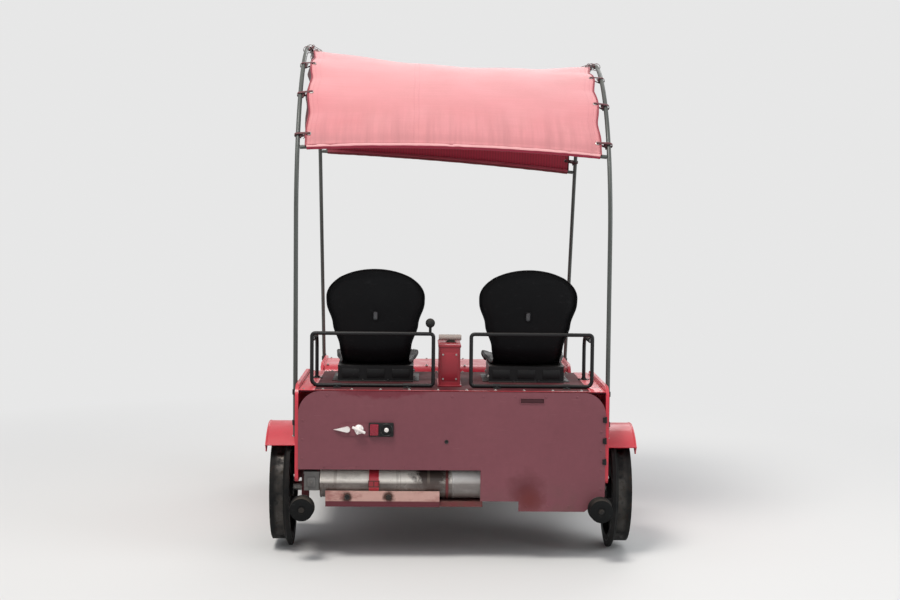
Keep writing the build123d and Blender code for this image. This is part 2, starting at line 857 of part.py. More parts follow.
pedals = [
    # name, side of the car, end of the spindle
    ("pedal_left_outer", -1, -1),
    ("pedal_left_inner", -1, 1),
    ("pedal_right_inner", 1, -1),
    ("pedal_right_outer", 1, 1),
]
for name, side, end in pedals:
    with BuildPart() as pedal:
        pin_y, pin_z = crank_y + end * reach_y, crank_z + end * reach_z
        with BuildSketch(Plane.YZ.offset(side * crank_x + end * pedal_inner)):
            with Locations((pin_y, pin_z)):
                RectangleRounded(pedal_length, pedal_height, pedal_corner)
                Circle(pedal_pin_radius + pin_clearance, mode=Mode.SUBTRACT)
        extrude(amount=end * pedal_width)
    save(pedal, name)


# Canopy hoops: up from the side, round over the seats and down, raked, to the nose
foot_past_axle = hoop_y + hoop_radius - rear_axle_y
hoop_foot_z = axle_z + math.sqrt(fender_outer**2 - foot_past_axle**2) + hoop_foot_gap


def hoop_bends(crest):
    """The middles of a hoop's two bends, and how far round the front one runs before the raked leg."""
    rear_middle = Vector(hoop_y + hoop_bend, crest - hoop_bend)
    front_middle = rear_middle + Vector(crown_flat, 0)
    to_foot = Vector(front_foot_y, front_foot_z) - front_middle
    turn = math.atan2(to_foot.X, to_foot.Y) - math.acos(hoop_bend / to_foot.length)
    return rear_middle, front_middle, turn


hoops = [
    # name, side, crest height of the tube's middle
    ("hoop_left", -1, crest_left),
    ("hoop_right", 1, crest_right),
]
for name, side, crest in hoops:
    rear_middle, front_middle, turn = hoop_bends(crest)
    front_corner_y = front_middle.X + hoop_bend * math.tan(turn / 2)
    with BuildPart() as hoop:
        with BuildLine() as hoop_path:
            FilletPolyline(
                (side * hoop_x, hoop_y, hoop_foot_z),
                (side * hoop_x, hoop_y, crest),
                (side * hoop_x, front_corner_y, crest),
                (side * hoop_x, front_foot_y, front_foot_z),
                radius=hoop_bend,
            )
        with BuildSketch(Plane(origin=hoop_path.line @ 0, z_dir=hoop_path.line % 0)):
            Circle(hoop_radius)
        sweep(path=hoop_path.line)
    save(hoop, name)


def hem_angles(x):
    """How far round the hoops' rear and front bends the two hems lie from the vertical, at x."""
    share = (x + hoop_x) / (2 * hoop_x)
    rear, front = [], []
    for crest, hem_z, bar_back in (
        (crest_left, rear_hem_left, front_bar_back_left),
        (crest_right, rear_hem_right, front_bar_back_right),
    ):
        rear.append(math.acos((hem_z - crest + hoop_bend) / hoop_bend))
        front.append(hoop_bends(crest)[2] - math.radians(bar_back))
    return rear[0] + (rear[1] - rear[0]) * share, front[0] + (front[1] - front[0]) * share


def bar_points(side, crest):
    """Where the rear and the front cross bar meet the middle line of a hoop."""
    rear_middle, front_middle, turn = hoop_bends(crest)
    rear_angle, front_angle = hem_angles(side * hoop_x)
    rear = rear_middle + Vector(-math.sin(rear_angle), math.cos(rear_angle)) * hoop_bend
    front = front_middle + Vector(math.sin(front_angle), math.cos(front_angle)) * hoop_bend
    return Vector(side * hoop_x, rear.X, rear.Y), Vector(side * hoop_x, front.X, front.Y)


rear_ends, front_ends = zip(bar_points(-1, crest_left), bar_points(1, crest_right))
rear_bar, front_bar = (*rear_ends, rear_bow), (*front_ends, front_bow)


def on_bar(bar, x):
    """The point of a cross bar's middle line at x. The bars bow up between the hoops."""
    left, right, bow = bar
    level = left + (right - left) * ((x + hoop_x) / (2 * hoop_x))
    return level + Vector(0, 0, bow * (1 - (x / hoop_x) ** 2))


bar_half = hoop_x - hoop_radius - bar_gap
with BuildPart() as cross_bars:
    for bar in (rear_bar, front_bar):
        with BuildLine() as bar_path:
            ThreePointArc(on_bar(bar, -bar_half), on_bar(bar, 0), on_bar(bar, bar_half))
        with BuildSketch(Plane(origin=bar_path.line @ 0, z_dir=bar_path.line % 0)):
            Circle(bar_radius)
        sweep(path=bar_path.line)
save(cross_bars, "cross_bars")

# Cloth: lofted over its left edge, its sagging middle and its right edge
cloth_lines = [
    # x, crest height of the cloth there
    (-cloth_half, crest_left - cloth_drop),
    (0, (crest_left + crest_right) / 2 - cloth_drop - cloth_sag),
    (cloth_half, crest_right - cloth_drop),
]
with BuildPart() as canopy_cloth:
    for x, crest in cloth_lines:
        rear_hem, front_hem = on_bar(rear_bar, x), on_bar(front_bar, x)
        rear_angle, front_angle = hem_angles(x)
        rear_radius = (crest - rear_hem.Z) / (1 - math.cos(rear_angle))
        front_radius = (crest - front_hem.Z) / (1 - math.cos(front_angle))
        rear_middle = (rear_hem.Y + rear_radius * math.sin(rear_angle), crest - rear_radius)
        front_middle = (front_hem.Y - front_radius * math.sin(front_angle), crest - front_radius)
        rear_sweep = math.degrees(rear_angle) + hem_overlap_angle
        with BuildSketch(Plane.YZ.offset(x)):
            with BuildLine():
                arcs = []
                for lift in (bar_radius + cloth_gap, bar_radius + cloth_gap + cloth_sheet):
                    rear = CenterArc(rear_middle, rear_radius + lift, 90, rear_sweep)
                    front = CenterArc(front_middle, front_radius + lift, 90, -math.degrees(front_angle))
                    Line(rear @ 0, front @ 0)
                    arcs += [rear, front]
                Line(arcs[0] @ 1, arcs[2] @ 1)
                Line(arcs[1] @ 1, arcs[3] @ 1)
            make_face()
    loft()
save(canopy_cloth, "canopy_cloth")
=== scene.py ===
# %% [markdown]
# A two-seat pedal rail car, dressed in Blender.
#
# The car is already built as solids: frame, body, wheels, seats, hoops. They arrive here as fixed meshes,
# at their real size in metres, with +Y ahead along the track, +X to the riders' right and +Z up. What is
# left is what makes it look real: paint with dust and chips, cloth that sags between its ties, chains with
# links, bolts, hubs, and seats with a turned-over rim. Each step below says what the real piece is and why
# it is made the way it is.

# %% Load the solids
import math
import random

import bmesh
import bpy
from mathutils import Matrix, Vector, noise


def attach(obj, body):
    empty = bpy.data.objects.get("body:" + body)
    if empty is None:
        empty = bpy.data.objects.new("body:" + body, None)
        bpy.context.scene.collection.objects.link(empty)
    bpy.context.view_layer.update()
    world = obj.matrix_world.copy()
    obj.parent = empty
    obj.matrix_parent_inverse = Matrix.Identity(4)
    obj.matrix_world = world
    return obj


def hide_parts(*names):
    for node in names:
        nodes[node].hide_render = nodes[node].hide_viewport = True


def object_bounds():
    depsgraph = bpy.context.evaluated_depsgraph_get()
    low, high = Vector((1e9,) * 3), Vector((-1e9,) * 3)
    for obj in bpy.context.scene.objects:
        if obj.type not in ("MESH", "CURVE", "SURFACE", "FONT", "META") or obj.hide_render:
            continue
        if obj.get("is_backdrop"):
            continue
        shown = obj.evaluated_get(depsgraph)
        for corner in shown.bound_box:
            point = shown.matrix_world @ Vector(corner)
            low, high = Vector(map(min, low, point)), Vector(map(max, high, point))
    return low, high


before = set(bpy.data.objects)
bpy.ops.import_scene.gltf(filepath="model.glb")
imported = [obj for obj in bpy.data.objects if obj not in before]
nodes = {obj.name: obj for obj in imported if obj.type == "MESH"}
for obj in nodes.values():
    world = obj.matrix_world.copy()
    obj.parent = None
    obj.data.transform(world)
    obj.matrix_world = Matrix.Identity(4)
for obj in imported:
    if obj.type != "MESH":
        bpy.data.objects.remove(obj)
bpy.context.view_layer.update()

# %% [markdown]
# Almost every small piece here is one of four things: a round bar between two points, a block with broken
# edges, a shape turned on a lathe, or a bolt. A few short functions make them inside one bmesh, so that a
# hundred bolts are one mesh and not a hundred objects. A round bar could also be a curve with a bevel, but
# a cone from the bmesh operators gives clean caps and can taper.

# %% Round bars, blocks, turned shapes
def facing(axis):
    """The turn that takes +Z to an axis."""
    return Vector(axis).to_track_quat("Z", "Y").to_matrix().to_4x4()


def bar(bm, start, end, radius, far_radius=None, segments=24):
    """Adds a round bar, or a cone, between two points."""
    start, end = Vector(start), Vector(end)
    place = Matrix.Translation((start + end) / 2) @ facing(end - start)
    far = radius if far_radius is None else far_radius
    return bmesh.ops.create_cone(
        bm, cap_ends=True, segments=segments, radius1=radius, radius2=far,
        depth=(end - start).length, matrix=place,
    )["verts"]


def soften(bm, edges, width, steps=2):
    """Rounds edges by a bevel."""
    bmesh.ops.bevel(
        bm, geom=list(edges), offset=width, offset_type="OFFSET", segments=steps,
        profile=0.5, affect="EDGES", material=-1, clamp_overlap=True,
    )


def block(bm, low, high, edge=0.0015, turn=None):
    """Adds a box between two corners, with its edges broken. A turn is about its middle."""
    low, high = Vector(low), Vector(high)
    place = Matrix.Translation((low + high) / 2)
    if turn is not None:
        place = place @ turn
    size = Matrix.Diagonal((*(high - low), 1.0))
    made = bmesh.ops.create_cube(bm, size=1.0, matrix=place @ size)["verts"]
    soften(bm, {e for v in made for e in v.link_edges}, edge)


def slab(bm, middle, half, edge=0.0015, turn=None):
    """Adds a box by its middle and its half sizes."""
    half = Vector(half)
    block(bm, Vector(middle) - half, Vector(middle) + half, edge, turn)


def turned(bm, profile, middle, axis, steps=48):
    """Turns a profile of (distance along the axis, radius) points round an axis through middle."""
    place = Matrix.Translation(middle) @ facing(axis)
    line = [bm.verts.new(place @ Vector((radius, 0, along))) for along, radius in profile]
    edges = [bm.edges.new(pair) for pair in zip(line, line[1:])]
    bmesh.ops.spin(
        bm, geom=line + edges, cent=middle, axis=Vector(axis), angle=math.tau,
        steps=steps, use_merge=True, use_duplicate=False,
    )


def bolt(bm, place, axis, size=0.008, washer=True):
    """Adds a hexagon head on a washer. Size is the radius across the head's corners."""
    place, axis = Vector(place), Vector(axis).normalized()
    seat = place
    if washer:
        bar(bm, place - axis * 0.001, place + axis * 0.0015, size * 1.45, segments=16)
        seat = place + axis * 0.0012
    bar(bm, seat, seat + axis * size * 0.75, size, segments=6)
    bar(bm, seat + axis * size * 0.6, seat + axis * size * 0.88, size * 0.8, size * 0.62, segments=12)


print("makers:", [f.__name__ for f in (bar, block, slab, turned, bolt)])

# %% [markdown]
# A bmesh becomes a piece in one place: doubles are merged, normals are made to point outwards, edges that
# turn sharply are marked sharp so that shading breaks there, and the piece gets its finish and is told which
# body carries it. A thin sheet gets its thickness from a modifier.

# %% Make a piece
SHARP = math.radians(32)
SAME_PLACE = 1e-5


def as_mesh(bm, name):
    """A new mesh of what is in a bmesh, which is freed."""
    mesh = bpy.data.meshes.new(name)
    bm.to_mesh(mesh)
    bm.free()
    return mesh


def in_scene(name, data):
    """A new object, linked to the scene."""
    made = bpy.data.objects.new(name, data)
    bpy.context.scene.collection.objects.link(made)
    return made


def piece(bm, name, finish, body="root", smooth=True):
    """Turns a bmesh into an object with a finish, which rides on a body."""
    bmesh.ops.remove_doubles(bm, verts=bm.verts, dist=SAME_PLACE)
    bmesh.ops.recalc_face_normals(bm, faces=bm.faces)
    for face in bm.faces:
        face.smooth = smooth
    for edge in bm.edges:
        edge.smooth = len(edge.link_faces) != 2 or edge.calc_face_angle(0) < SHARP
    made = in_scene(name, as_mesh(bm, name))
    made.data.materials.append(finish)
    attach(made, body)
    print(name, "faces:", len(made.data.polygons))
    return made


def thicken(sheet, thickness, offset):
    """Gives a sheet its thickness: behind its face (-1), on both sides (0) or before its face (1)."""
    solid = sheet.modifiers.new("thickness", "SOLIDIFY")
    solid.thickness = thickness
    solid.offset = offset

# %% [markdown]
# The finishes come next. All of them are grown from noise that is measured on the object itself, in metres,
# so that a scratch stays where it is when a wheel turns. A few helpers keep the node trees short: one makes
# a node and sets its inputs, one makes soft patches from noise, one multiplies shares, one mixes two colours
# and one adds relief.

# %% Helpers for finishes
def new_finish(name, colour, roughness=0.5, metallic=0.0):
    """A material with one Principled shader, and its node tree."""
    finish = bpy.data.materials.new(name)
    finish.use_nodes = True
    shader = finish.node_tree.nodes["Principled BSDF"]
    shader.inputs["Base Color"].default_value = (*colour, 1)
    shader.inputs["Roughness"].default_value = roughness
    shader.inputs["Metallic"].default_value = metallic
    return finish, finish.node_tree, shader


def add(tree, kind, values=(), **settings):
    """A new node with some settings. Values are pairs of input and a number, colour or socket."""
    made = tree.nodes.new(kind)
    for key, value in settings.items():
        setattr(made, key, value)
    for key, value in values:
        if isinstance(value, bpy.types.NodeSocket):
            tree.links.new(value, made.inputs[key])
        else:
            made.inputs[key].default_value = value
    return made


def places(tree, stretch=(1, 1, 1), shift=(0, 0, 0), turn=(0, 0, 0), start=None):
    """Object coordinates, or others to start from, stretched, shifted or turned."""
    coordinates = start or add(tree, "ShaderNodeTexCoord").outputs["Object"]
    mapping = add(tree, "ShaderNodeMapping", [
        ("Vector", coordinates), ("Location", shift), ("Rotation", turn), ("Scale", stretch)])
    return mapping.outputs["Vector"]


def spread(tree, value, low, high, to_low=0.0, to_high=1.0):
    """Maps a value from one range to another, held at its ends."""
    return add(tree, "ShaderNodeMapRange", [
        ("Value", value), ("From Min", low), ("From Max", high),
        ("To Min", to_low), ("To Max", to_high)], clamp=True).outputs["Result"]


def grain(tree, scale, detail=4.0, rough=0.6, at=None):
    """Noise from 0 to 1."""
    return add(tree, "ShaderNodeTexNoise", [
        ("Vector", at or places(tree)), ("Scale", scale), ("Detail", detail),
        ("Roughness", rough)]).outputs["Fac"]


def patches(tree, scale, low, high, detail=5.0, at=None):
    """Soft-edged patches, 0 outside and 1 inside."""
    return spread(tree, grain(tree, scale, detail, at=at), low, high)


def figure(tree, kind, a, b=0.0):
    """One sum, product or other step of arithmetic."""
    return add(tree, "ShaderNodeMath", [(0, a), (1, b)], operation=kind).outputs["Value"]


def times(tree, first, *others):
    """The product of two or more shares."""
    for other in others:
        first = figure(tree, "MULTIPLY", first, other)
    return first


def mixed(tree, share, first, second):
    """The second colour laid over the first by a share."""
    mix = add(tree, "ShaderNodeMix", data_type="RGBA")
    for slot_name, value in (("Factor_Float", share), ("A_Color", first), ("B_Color", second)):
        socket = next(s for s in mix.inputs if s.identifier == slot_name)
        if isinstance(value, bpy.types.NodeSocket):
            tree.links.new(value, socket)
        elif slot_name == "Factor_Float":
            socket.default_value = value
        else:
            socket.default_value = (*value, 1)
    return next(s for s in mix.outputs if s.identifier == "Result_Color")


def relief(tree, shader, height, depth, strength=1.0):
    """Raises the surface by a height, in metres, over what relief is there already."""
    bump = add(tree, "ShaderNodeBump", [("Height", height), ("Distance", depth), ("Strength", strength)])
    if shader.inputs["Normal"].is_linked:
        tree.links.new(shader.inputs["Normal"].links[0].from_socket, bump.inputs["Normal"])
    tree.links.new(bump.outputs["Normal"], shader.inputs["Normal"])


def upward(tree, low=0.55, high=0.95):
    """1 where the surface looks up on the object at rest, 0 elsewhere."""
    normal = add(tree, "ShaderNodeTexCoord").outputs["Normal"]
    height = add(tree, "ShaderNodeSeparateXYZ", [("Vector", normal)]).outputs["Z"]
    return spread(tree, height, low, high)


def axis_of(tree, letter, at=None):
    """One object coordinate, in metres."""
    return add(tree, "ShaderNodeSeparateXYZ", [("Vector", at or places(tree))]).outputs[letter]


def edges_of(tree, radius):
    """1 on corners that the hand or a boot would rub, found by rounding the normals a little."""
    rounded = add(tree, "ShaderNodeBevel", [("Radius", radius)], samples=4).outputs["Normal"]
    plain = add(tree, "ShaderNodeNewGeometry").outputs["Normal"]
    alike = add(tree, "ShaderNodeVectorMath", [(0, rounded), (1, plain)], operation="DOT_PRODUCT")
    return spread(tree, figure(tree, "SUBTRACT", 1.0, alike.outputs["Value"]), 0.03, 0.3)


print("masks:", [f.__name__ for f in (grain, patches, upward, edges_of)])

# %% [markdown]
# Paint on steel is the finish that covers most of the car. Real paint isn't one colour: the sun bleaches it
# in broad clouds, dust lies on what looks up, mud is thrown against what is low, and at corners the paint
# has chipped to rust or bare metal. The same recipe makes all the paints, and only its numbers differ.

# %% Paint recipe
RUST = (0.105, 0.036, 0.016)
DUST = (0.30, 0.25, 0.20)
MUD = (0.085, 0.065, 0.048)


def paint(name, colour, faded, roughness=0.34, chips=0.5, dust=0.35, mud_top=0.42, bare=RUST, coat=0.0):
    """Brushed or sprayed paint on steel, with fading, dust, mud below mud_top, and chipped corners."""
    finish, tree, shader = new_finish(name, colour, roughness)
    clouds = patches(tree, 2.6, 0.35, 0.72, 3.0)
    mottle = patches(tree, 38.0, 0.42, 0.75, 6.0)
    skin = mixed(tree, times(tree, clouds, 0.75), colour, faded)
    skin = mixed(tree, times(tree, mottle, 0.16), skin, tuple(c * 0.55 for c in colour))
    settled = times(tree, upward(tree), patches(tree, 9.0, 0.25, 0.8))
    skin = mixed(tree, times(tree, settled, dust), skin, DUST)
    low = spread(tree, axis_of(tree, "Z"), mud_top, mud_top - 0.26)
    splashes = times(tree, low, patches(tree, 17.0, 0.38, 0.66, 7.0))
    skin = mixed(tree, times(tree, splashes, 0.55), skin, MUD)
    rubbed = times(tree, edges_of(tree, 0.004), patches(tree, 55.0, 0.66 - 0.25 * chips, 0.7, 8.0))
    flecks = patches(tree, 120.0, 0.745 - 0.03 * chips, 0.76, 2.0)
    worn = figure(tree, "MAXIMUM", rubbed, times(tree, flecks, chips))
    skin = mixed(tree, worn, skin, bare)
    tree.links.new(skin, shader.inputs["Base Color"])
    dull = figure(tree, "MAXIMUM", worn, figure(tree, "MAXIMUM", settled, splashes))
    rough = spread(tree, dull, 0.0, 1.0, roughness, 0.82)
    uneven = spread(tree, grain(tree, 6.0, 6.0), 0.3, 0.7, -0.06, 0.08)
    tree.links.new(figure(tree, "ADD", rough, uneven), shader.inputs["Roughness"])
    shader.inputs["Coat Weight"].default_value = coat
    shader.inputs["Coat Roughness"].default_value = 0.12
    relief(tree, shader, grain(tree, 260.0, 2.0), 0.00012, 0.5)
    relief(tree, shader, figure(tree, "SUBTRACT", 1.0, worn), 0.0002, 0.5)
    return finish, tree, shader


red_paint = paint("red_paint", (0.52, 0.016, 0.036), (0.62, 0.050, 0.075), 0.32, 0.45, 0.22, coat=0.3)[0]
frame_paint = paint("frame_paint", (0.11, 0.007, 0.013), (0.15, 0.020, 0.022), 0.5, 0.9, 0.25, 0.45)[0]
console_paint = paint("console_paint", (0.27, 0.009, 0.020), (0.34, 0.026, 0.040), 0.38, 0.5, 0.10,
                      coat=0.15)[0]
slot_shade = paint("slot_shade", (0.034, 0.003, 0.007), (0.048, 0.006, 0.011), 0.8, 0.3, 0.05)[0]
black_paint, tree, shader = paint("black_paint", (0.0075, 0.0075, 0.0082), (0.016, 0.016, 0.017), 0.38, 0.5,
                                  0.10, bare=(0.16, 0.15, 0.14))
shader.inputs["Specular IOR Level"].default_value = 0.25
hoop_paint = paint("hoop_paint", (0.045, 0.050, 0.046), (0.085, 0.094, 0.086), 0.38, 0.8, 0.15)[0]
plate_grey = paint("plate_grey", (0.16, 0.16, 0.17), (0.20, 0.20, 0.21), 0.6, 0.3, 0.0)[0]
grey_paint = paint("grey_paint", (0.13, 0.125, 0.12), (0.24, 0.23, 0.22), 0.5, 0.5, 0.3)[0]
print("paints:", [f.name for f in (red_paint, frame_paint, console_paint, slot_shade, black_paint, hoop_paint,
                                   plate_grey, grey_paint)])

# %% [markdown]
# Bare metals come from one recipe too: steel that is brushed or cast, with oily dark patches and rust in
# them. What differs is how bright it is, how rough, and how much rust it carries.

# %% Metal recipe
def metal(name, colour, roughness, rust=0.0, grime=0.3, scratch=60.0):
    """Bare metal with grime in soft patches, rust at the rim of those patches, and fine scratches."""
    finish, tree, shader = new_finish(name, colour, roughness, 1.0)
    dirty = patches(tree, 14.0, 0.45, 0.75, 6.0)
    skin = mixed(tree, times(tree, dirty, grime), colour, tuple(c * 0.25 for c in colour))
    rusty = patches(tree, 22.0, 0.66 - 0.3 * rust, 0.74 - 0.2 * rust, 8.0) if rust else 0.0
    skin = mixed(tree, rusty, skin, RUST)
    tree.links.new(skin, shader.inputs["Base Color"])
    unrusted = spread(tree, figure(tree, "MAXIMUM", rusty, 0.0), 0.0, 1.0, 1.0, 0.0)
    tree.links.new(unrusted, shader.inputs["Metallic"])
    lines = grain(tree, scratch, 8.0, 0.75, at=places(tree, stretch=(1, 8, 8)))
    wear = figure(tree, "ADD", spread(tree, lines, 0.3, 0.7, roughness - 0.07, roughness + 0.12),
                  times(tree, figure(tree, "MAXIMUM", rusty, dirty), 0.3))
    tree.links.new(wear, shader.inputs["Roughness"])
    relief(tree, shader, lines, 0.0001, 0.4)
    return finish


shaft_steel = metal("shaft_steel", (0.42, 0.41, 0.39), 0.34, rust=0.35, grime=0.6)
chain_steel = metal("chain_steel", (0.20, 0.17, 0.14), 0.42, rust=0.45, grime=0.8)
plate_metal = metal("plate_metal", (0.72, 0.70, 0.67), 0.26, grime=0.25)
bolt_steel = metal("bolt_steel", (0.48, 0.47, 0.45), 0.38, rust=0.3, grime=0.5)
chrome = metal("chrome", (0.82, 0.82, 0.81), 0.12, grime=0.12, scratch=30.0)
pale_metal = metal("pale_metal", (0.90, 0.86, 0.84), 0.52, grime=0.15)
print("metals:", [f.name for f in (shaft_steel, chain_steel, plate_metal, bolt_steel, chrome, pale_metal)])

# %% [markdown]
# Some marks sit at one place only: a rust stain, a scorched patch. A spot is a mask that is 1 inside a
# ragged ball round a point of the car, so the same few nodes serve flat sheets and tubes alike.

# %% Spots
def spot(tree, centre, radius, ragged=0.5, stretch=(1, 1, 1), scale=18.0, soft=0.55):
    """1 inside a ragged ball round a point, 0 outside."""
    shift = tuple(-c * s for c, s in zip(centre, stretch))
    reach = add(tree, "ShaderNodeVectorMath", [(0, places(tree, stretch, shift))], operation="LENGTH")
    torn = spread(tree, grain(tree, scale, 7.0, 0.7), 0.3, 0.7, 1 - ragged, 1 + ragged)
    share = figure(tree, "DIVIDE", reach.outputs["Value"], times(tree, torn, radius))
    return spread(tree, share, 1.0, soft)


def base_colour(shader):
    """The socket that feeds a shader's colour now."""
    return shader.inputs["Base Color"].links[0].from_socket


def stain(tree, shader, mask, colour, roughness=None):
    """Lays a colour, and perhaps a roughness, over a finish where a mask is 1."""
    tree.links.new(mixed(tree, mask, base_colour(shader), colour), shader.inputs["Base Color"])
    if roughness is not None:
        under = shader.inputs["Roughness"].links[0].from_socket
        blend = add(tree, "ShaderNodeMapRange", [("Value", mask), ("To Min", under), ("To Max", roughness)])
        tree.links.new(blend.outputs["Result"], shader.inputs["Roughness"])


print("layers:", [f.__name__ for f in (spot, stain)])

# %% [markdown]
# The rear panel is the largest flat surface in view. Its maroon paint has gone dull and chalky, long thin
# scratches run across it where bags were dragged, and a rust stain has bled through low on the right. Three
# dark red patches along its top edge are painted shadow from the guards and seats above. Wear is laid over
# the paint recipe in layers, as it happened to the real sheet.

# %% Rear panel paint
maroon_paint, tree, shader = paint("maroon_paint", (0.160, 0.041, 0.055), (0.188, 0.052, 0.067),
                                   0.50, 0.25, 0.2, mud_top=0.36)
scratches = patches(tree, 9.0, 0.70, 0.73, 2.0, at=places(tree, (1.2, 1, 22), turn=(0, 0.35, 0)))
stain(tree, shader, times(tree, scratches, 0.22), (0.30, 0.12, 0.13))
rain = patches(tree, 5.0, 0.5, 0.75, 5.0, at=places(tree, (9, 9, 0.9)))
stain(tree, shader, times(tree, rain, 0.12), (0.13, 0.030, 0.045))
for place, size, tint in (((0.310, -1.13, 0.300), 0.098, (0.090, 0.012, 0.018)),
                          ((0.325, -1.13, 0.262), 0.074, (0.115, 0.014, 0.014))):
    stain(tree, shader, times(tree, spot(tree, place, size, 0.3, soft=0.15), 0.95), tint, 0.7)
# Painted shadow: three dark red patches along the panel's top edge, under the guards and seats.
for place, size in (((-0.40, -1.13, 0.712), 0.06), ((-0.30, -1.13, 0.706), 0.07),
                    ((-0.17, -1.13, 0.712), 0.04)):
    painted_shadow_spot = spot(tree, place, size, 0.5, (0.6, 1, 2.4))
    stain(tree, shader, times(tree, painted_shadow_spot, 0.75), (0.13, 0.008, 0.02))
print("rear panel paint nodes:", len(tree.nodes))

# The deck's red is painted almost black, as shade under the seats and guards.
shaded_deck_paint, tree, shader = paint("shaded_deck_paint", (0.060, 0.006, 0.012), (0.085, 0.012, 0.020), 0.6, 0.25, 0.14)
shader.inputs["Specular IOR Level"].default_value = 0.12

# %% [markdown]
# The stowed tube is cream, and its lower half is painted darker as shade; a dark patch near its right end is
# painted shadow. The can on that end is a cooler grey, painted darker below as shade too. The tow bar is
# pinkish, where red paint has rubbed off into dust; it is darkest round its bolts, and its lower edge is
# painted dark red as shade.

# %% Worn tube and tow bar
TOW_HOLES, TOW_Z = (-0.435, -0.263), 0.269
worn_tube, tree, shader = paint("worn_tube", (0.94, 0.87, 0.78), (0.96, 0.92, 0.86), 0.30, 0.4, 0.05,
                                mud_top=0.28, coat=0.5)
blotch = patches(tree, 7.0, 0.56, 0.64, 8.0, at=places(tree, (0.7, 1.6, 1.6)))
stain(tree, shader, times(tree, blotch, 0.30), (0.17, 0.11, 0.075), 0.7)
# Painted shadow: a dark patch near the tube's right end, where the bars above shade it.
stain(tree, shader, spot(tree, (-0.09, -1.09, 0.360), 0.078, 0.5, (0.9, 1, 0.8)), (0.050, 0.034, 0.028), 0.75)
rings = patches(tree, 3.0, 0.60, 0.63, 6.0, at=places(tree, (14, 0.4, 0.4)))
stain(tree, shader, times(tree, rings, 0.4), (0.30, 0.24, 0.19))


def shade_below_round(tree, shader, top, low, share, colour=(0.045, 0.027, 0.022)):
    """Painted shade under a round thing, from one height down to another."""
    under = spread(tree, axis_of(tree, "Z"), top, low)
    ragged = spread(tree, grain(tree, 14.0, 6.0, at=places(tree, (1, 1, 2.5))), 0.25, 0.6, 0.88, 1.0)
    stain(tree, shader, times(tree, under, ragged, share), colour)


# Painted shade: the tube's lower half is darkened, so the pale tube reads lit on top and shaded below.
shade_below_round(tree, shader, 0.338, 0.322, 0.96)
can_paint, tree, shader = paint("can_paint", (0.78, 0.75, 0.72), (0.86, 0.83, 0.80), 0.32, 0.6, 0.05,
                                mud_top=0.28, coat=0.3)
# Painted shade: the can is darkened towards its bottom.
shade_below_round(tree, shader, 0.350, 0.322, 0.85)

tow_paint, tree, shader = paint("tow_paint", (0.47, 0.26, 0.225), (0.56, 0.36, 0.31), 0.6, 1.0, 0.2,
                                mud_top=0.27)
for hole_x in TOW_HOLES:
    stain(tree, shader, spot(tree, (hole_x, -1.121, TOW_Z), 0.026, 0.5), (0.07, 0.03, 0.022), 0.8)
blotches = patches(tree, 12.0, 0.52, 0.63, 7.0, at=places(tree, (0.7, 1, 1.5)))
stain(tree, shader, times(tree, blotches, 0.6), (0.22, 0.06, 0.055), 0.75)
# Painted shade: the bar's lower edge is darkened to dark red.
shaded_lower_edge = spread(tree, axis_of(tree, "Z"), 0.2530, 0.2495)
stain(tree, shader, shaded_lower_edge, (0.095, 0.010, 0.018), 0.6)
print("worn finishes:", worn_tube.name, tow_paint.name, can_paint.name)

# %% [markdown]
# Moulded seats have a fine leathery grain, made by the mould, and pale scuffs where buckles and boots touch
# them. Rubber and pedal plastic are duller and dustier. The grain is a field of small cells, which an image
# could give too, but cells have no seam and need no UV map.

# %% Plastics and rubber
def plastic(name, colour, roughness, grain_scale, grain_depth, scuff, dust):
    """Moulded plastic or rubber with grain, scuffs and dust."""
    finish, tree, shader = new_finish(name, colour, roughness)
    shader.inputs["Specular IOR Level"].default_value = 0.10
    scuffs = patches(tree, 30.0, 0.60, 0.72, 8.0, at=places(tree, (1, 1, 2.5)))
    skin = mixed(tree, times(tree, scuffs, scuff), colour, tuple(c * 3 + 0.02 for c in colour))
    settled = times(tree, upward(tree, 0.3, 0.9), patches(tree, 8.0, 0.3, 0.8))
    skin = mixed(tree, times(tree, settled, dust), skin, DUST)
    tree.links.new(skin, shader.inputs["Base Color"])
    cells = add(tree, "ShaderNodeTexVoronoi", [("Vector", places(tree)), ("Scale", grain_scale)],
                feature="F1")
    relief(tree, shader, cells.outputs["Distance"], grain_depth, 0.6)
    wear = spread(tree, grain(tree, 12.0, 5.0), 0.3, 0.7, roughness - 0.06, roughness + 0.14)
    tree.links.new(figure(tree, "ADD", wear, times(tree, settled, 0.2)), shader.inputs["Roughness"])
    return finish


# The seat plastic is painted darker than a plain black moulding, as shade under the canopy.
seat_plastic = plastic("seat_plastic", (0.0062, 0.0064, 0.0072), 0.42, 620.0, 0.00025, 0.22, 0.05)
buffer_rubber = plastic("buffer_rubber", (0.0075, 0.0078, 0.0080), 0.66, 300.0, 0.0003, 0.25, 0.25)
grip_plastic = plastic("grip_plastic", (0.36, 0.31, 0.28), 0.5, 400.0, 0.0002, 0.1, 0.1)
pedal_plastic = plastic("pedal_plastic", (0.02, 0.02, 0.02), 0.5, 500.0, 0.0003, 0.5, 0.25)
reflector_red, tree, shader = new_finish("reflector_red", (0.19, 0.006, 0.02), 0.14)
prisms = add(tree, "ShaderNodeTexVoronoi", [("Vector", places(tree)), ("Scale", 260.0)],
             feature="DISTANCE_TO_EDGE").outputs["Distance"]
glint = mixed(tree, spread(tree, prisms, 0.0, 0.12), (0.10, 0.002, 0.01), (0.30, 0.010, 0.03))
tree.links.new(glint, shader.inputs["Base Color"])
relief(tree, shader, prisms, 0.0012, 0.7)
print("plastics:", [f.name for f in (seat_plastic, buffer_rubber, grip_plastic, pedal_plastic,
                                     reflector_red)])

# %% [markdown]
# A wheel's tread is polished by the rail while the web beside it stays black. So the finish is chosen by the
# distance from the wheel's own axle, and each axle has a finish of its own.

# %% Wheel finish
REAR_AXLE, FRONT_AXLE, AXLE_Z = -0.800, 0.700, 0.257
TREAD_LOW, TREAD_HIGH = 0.2285, 0.2315


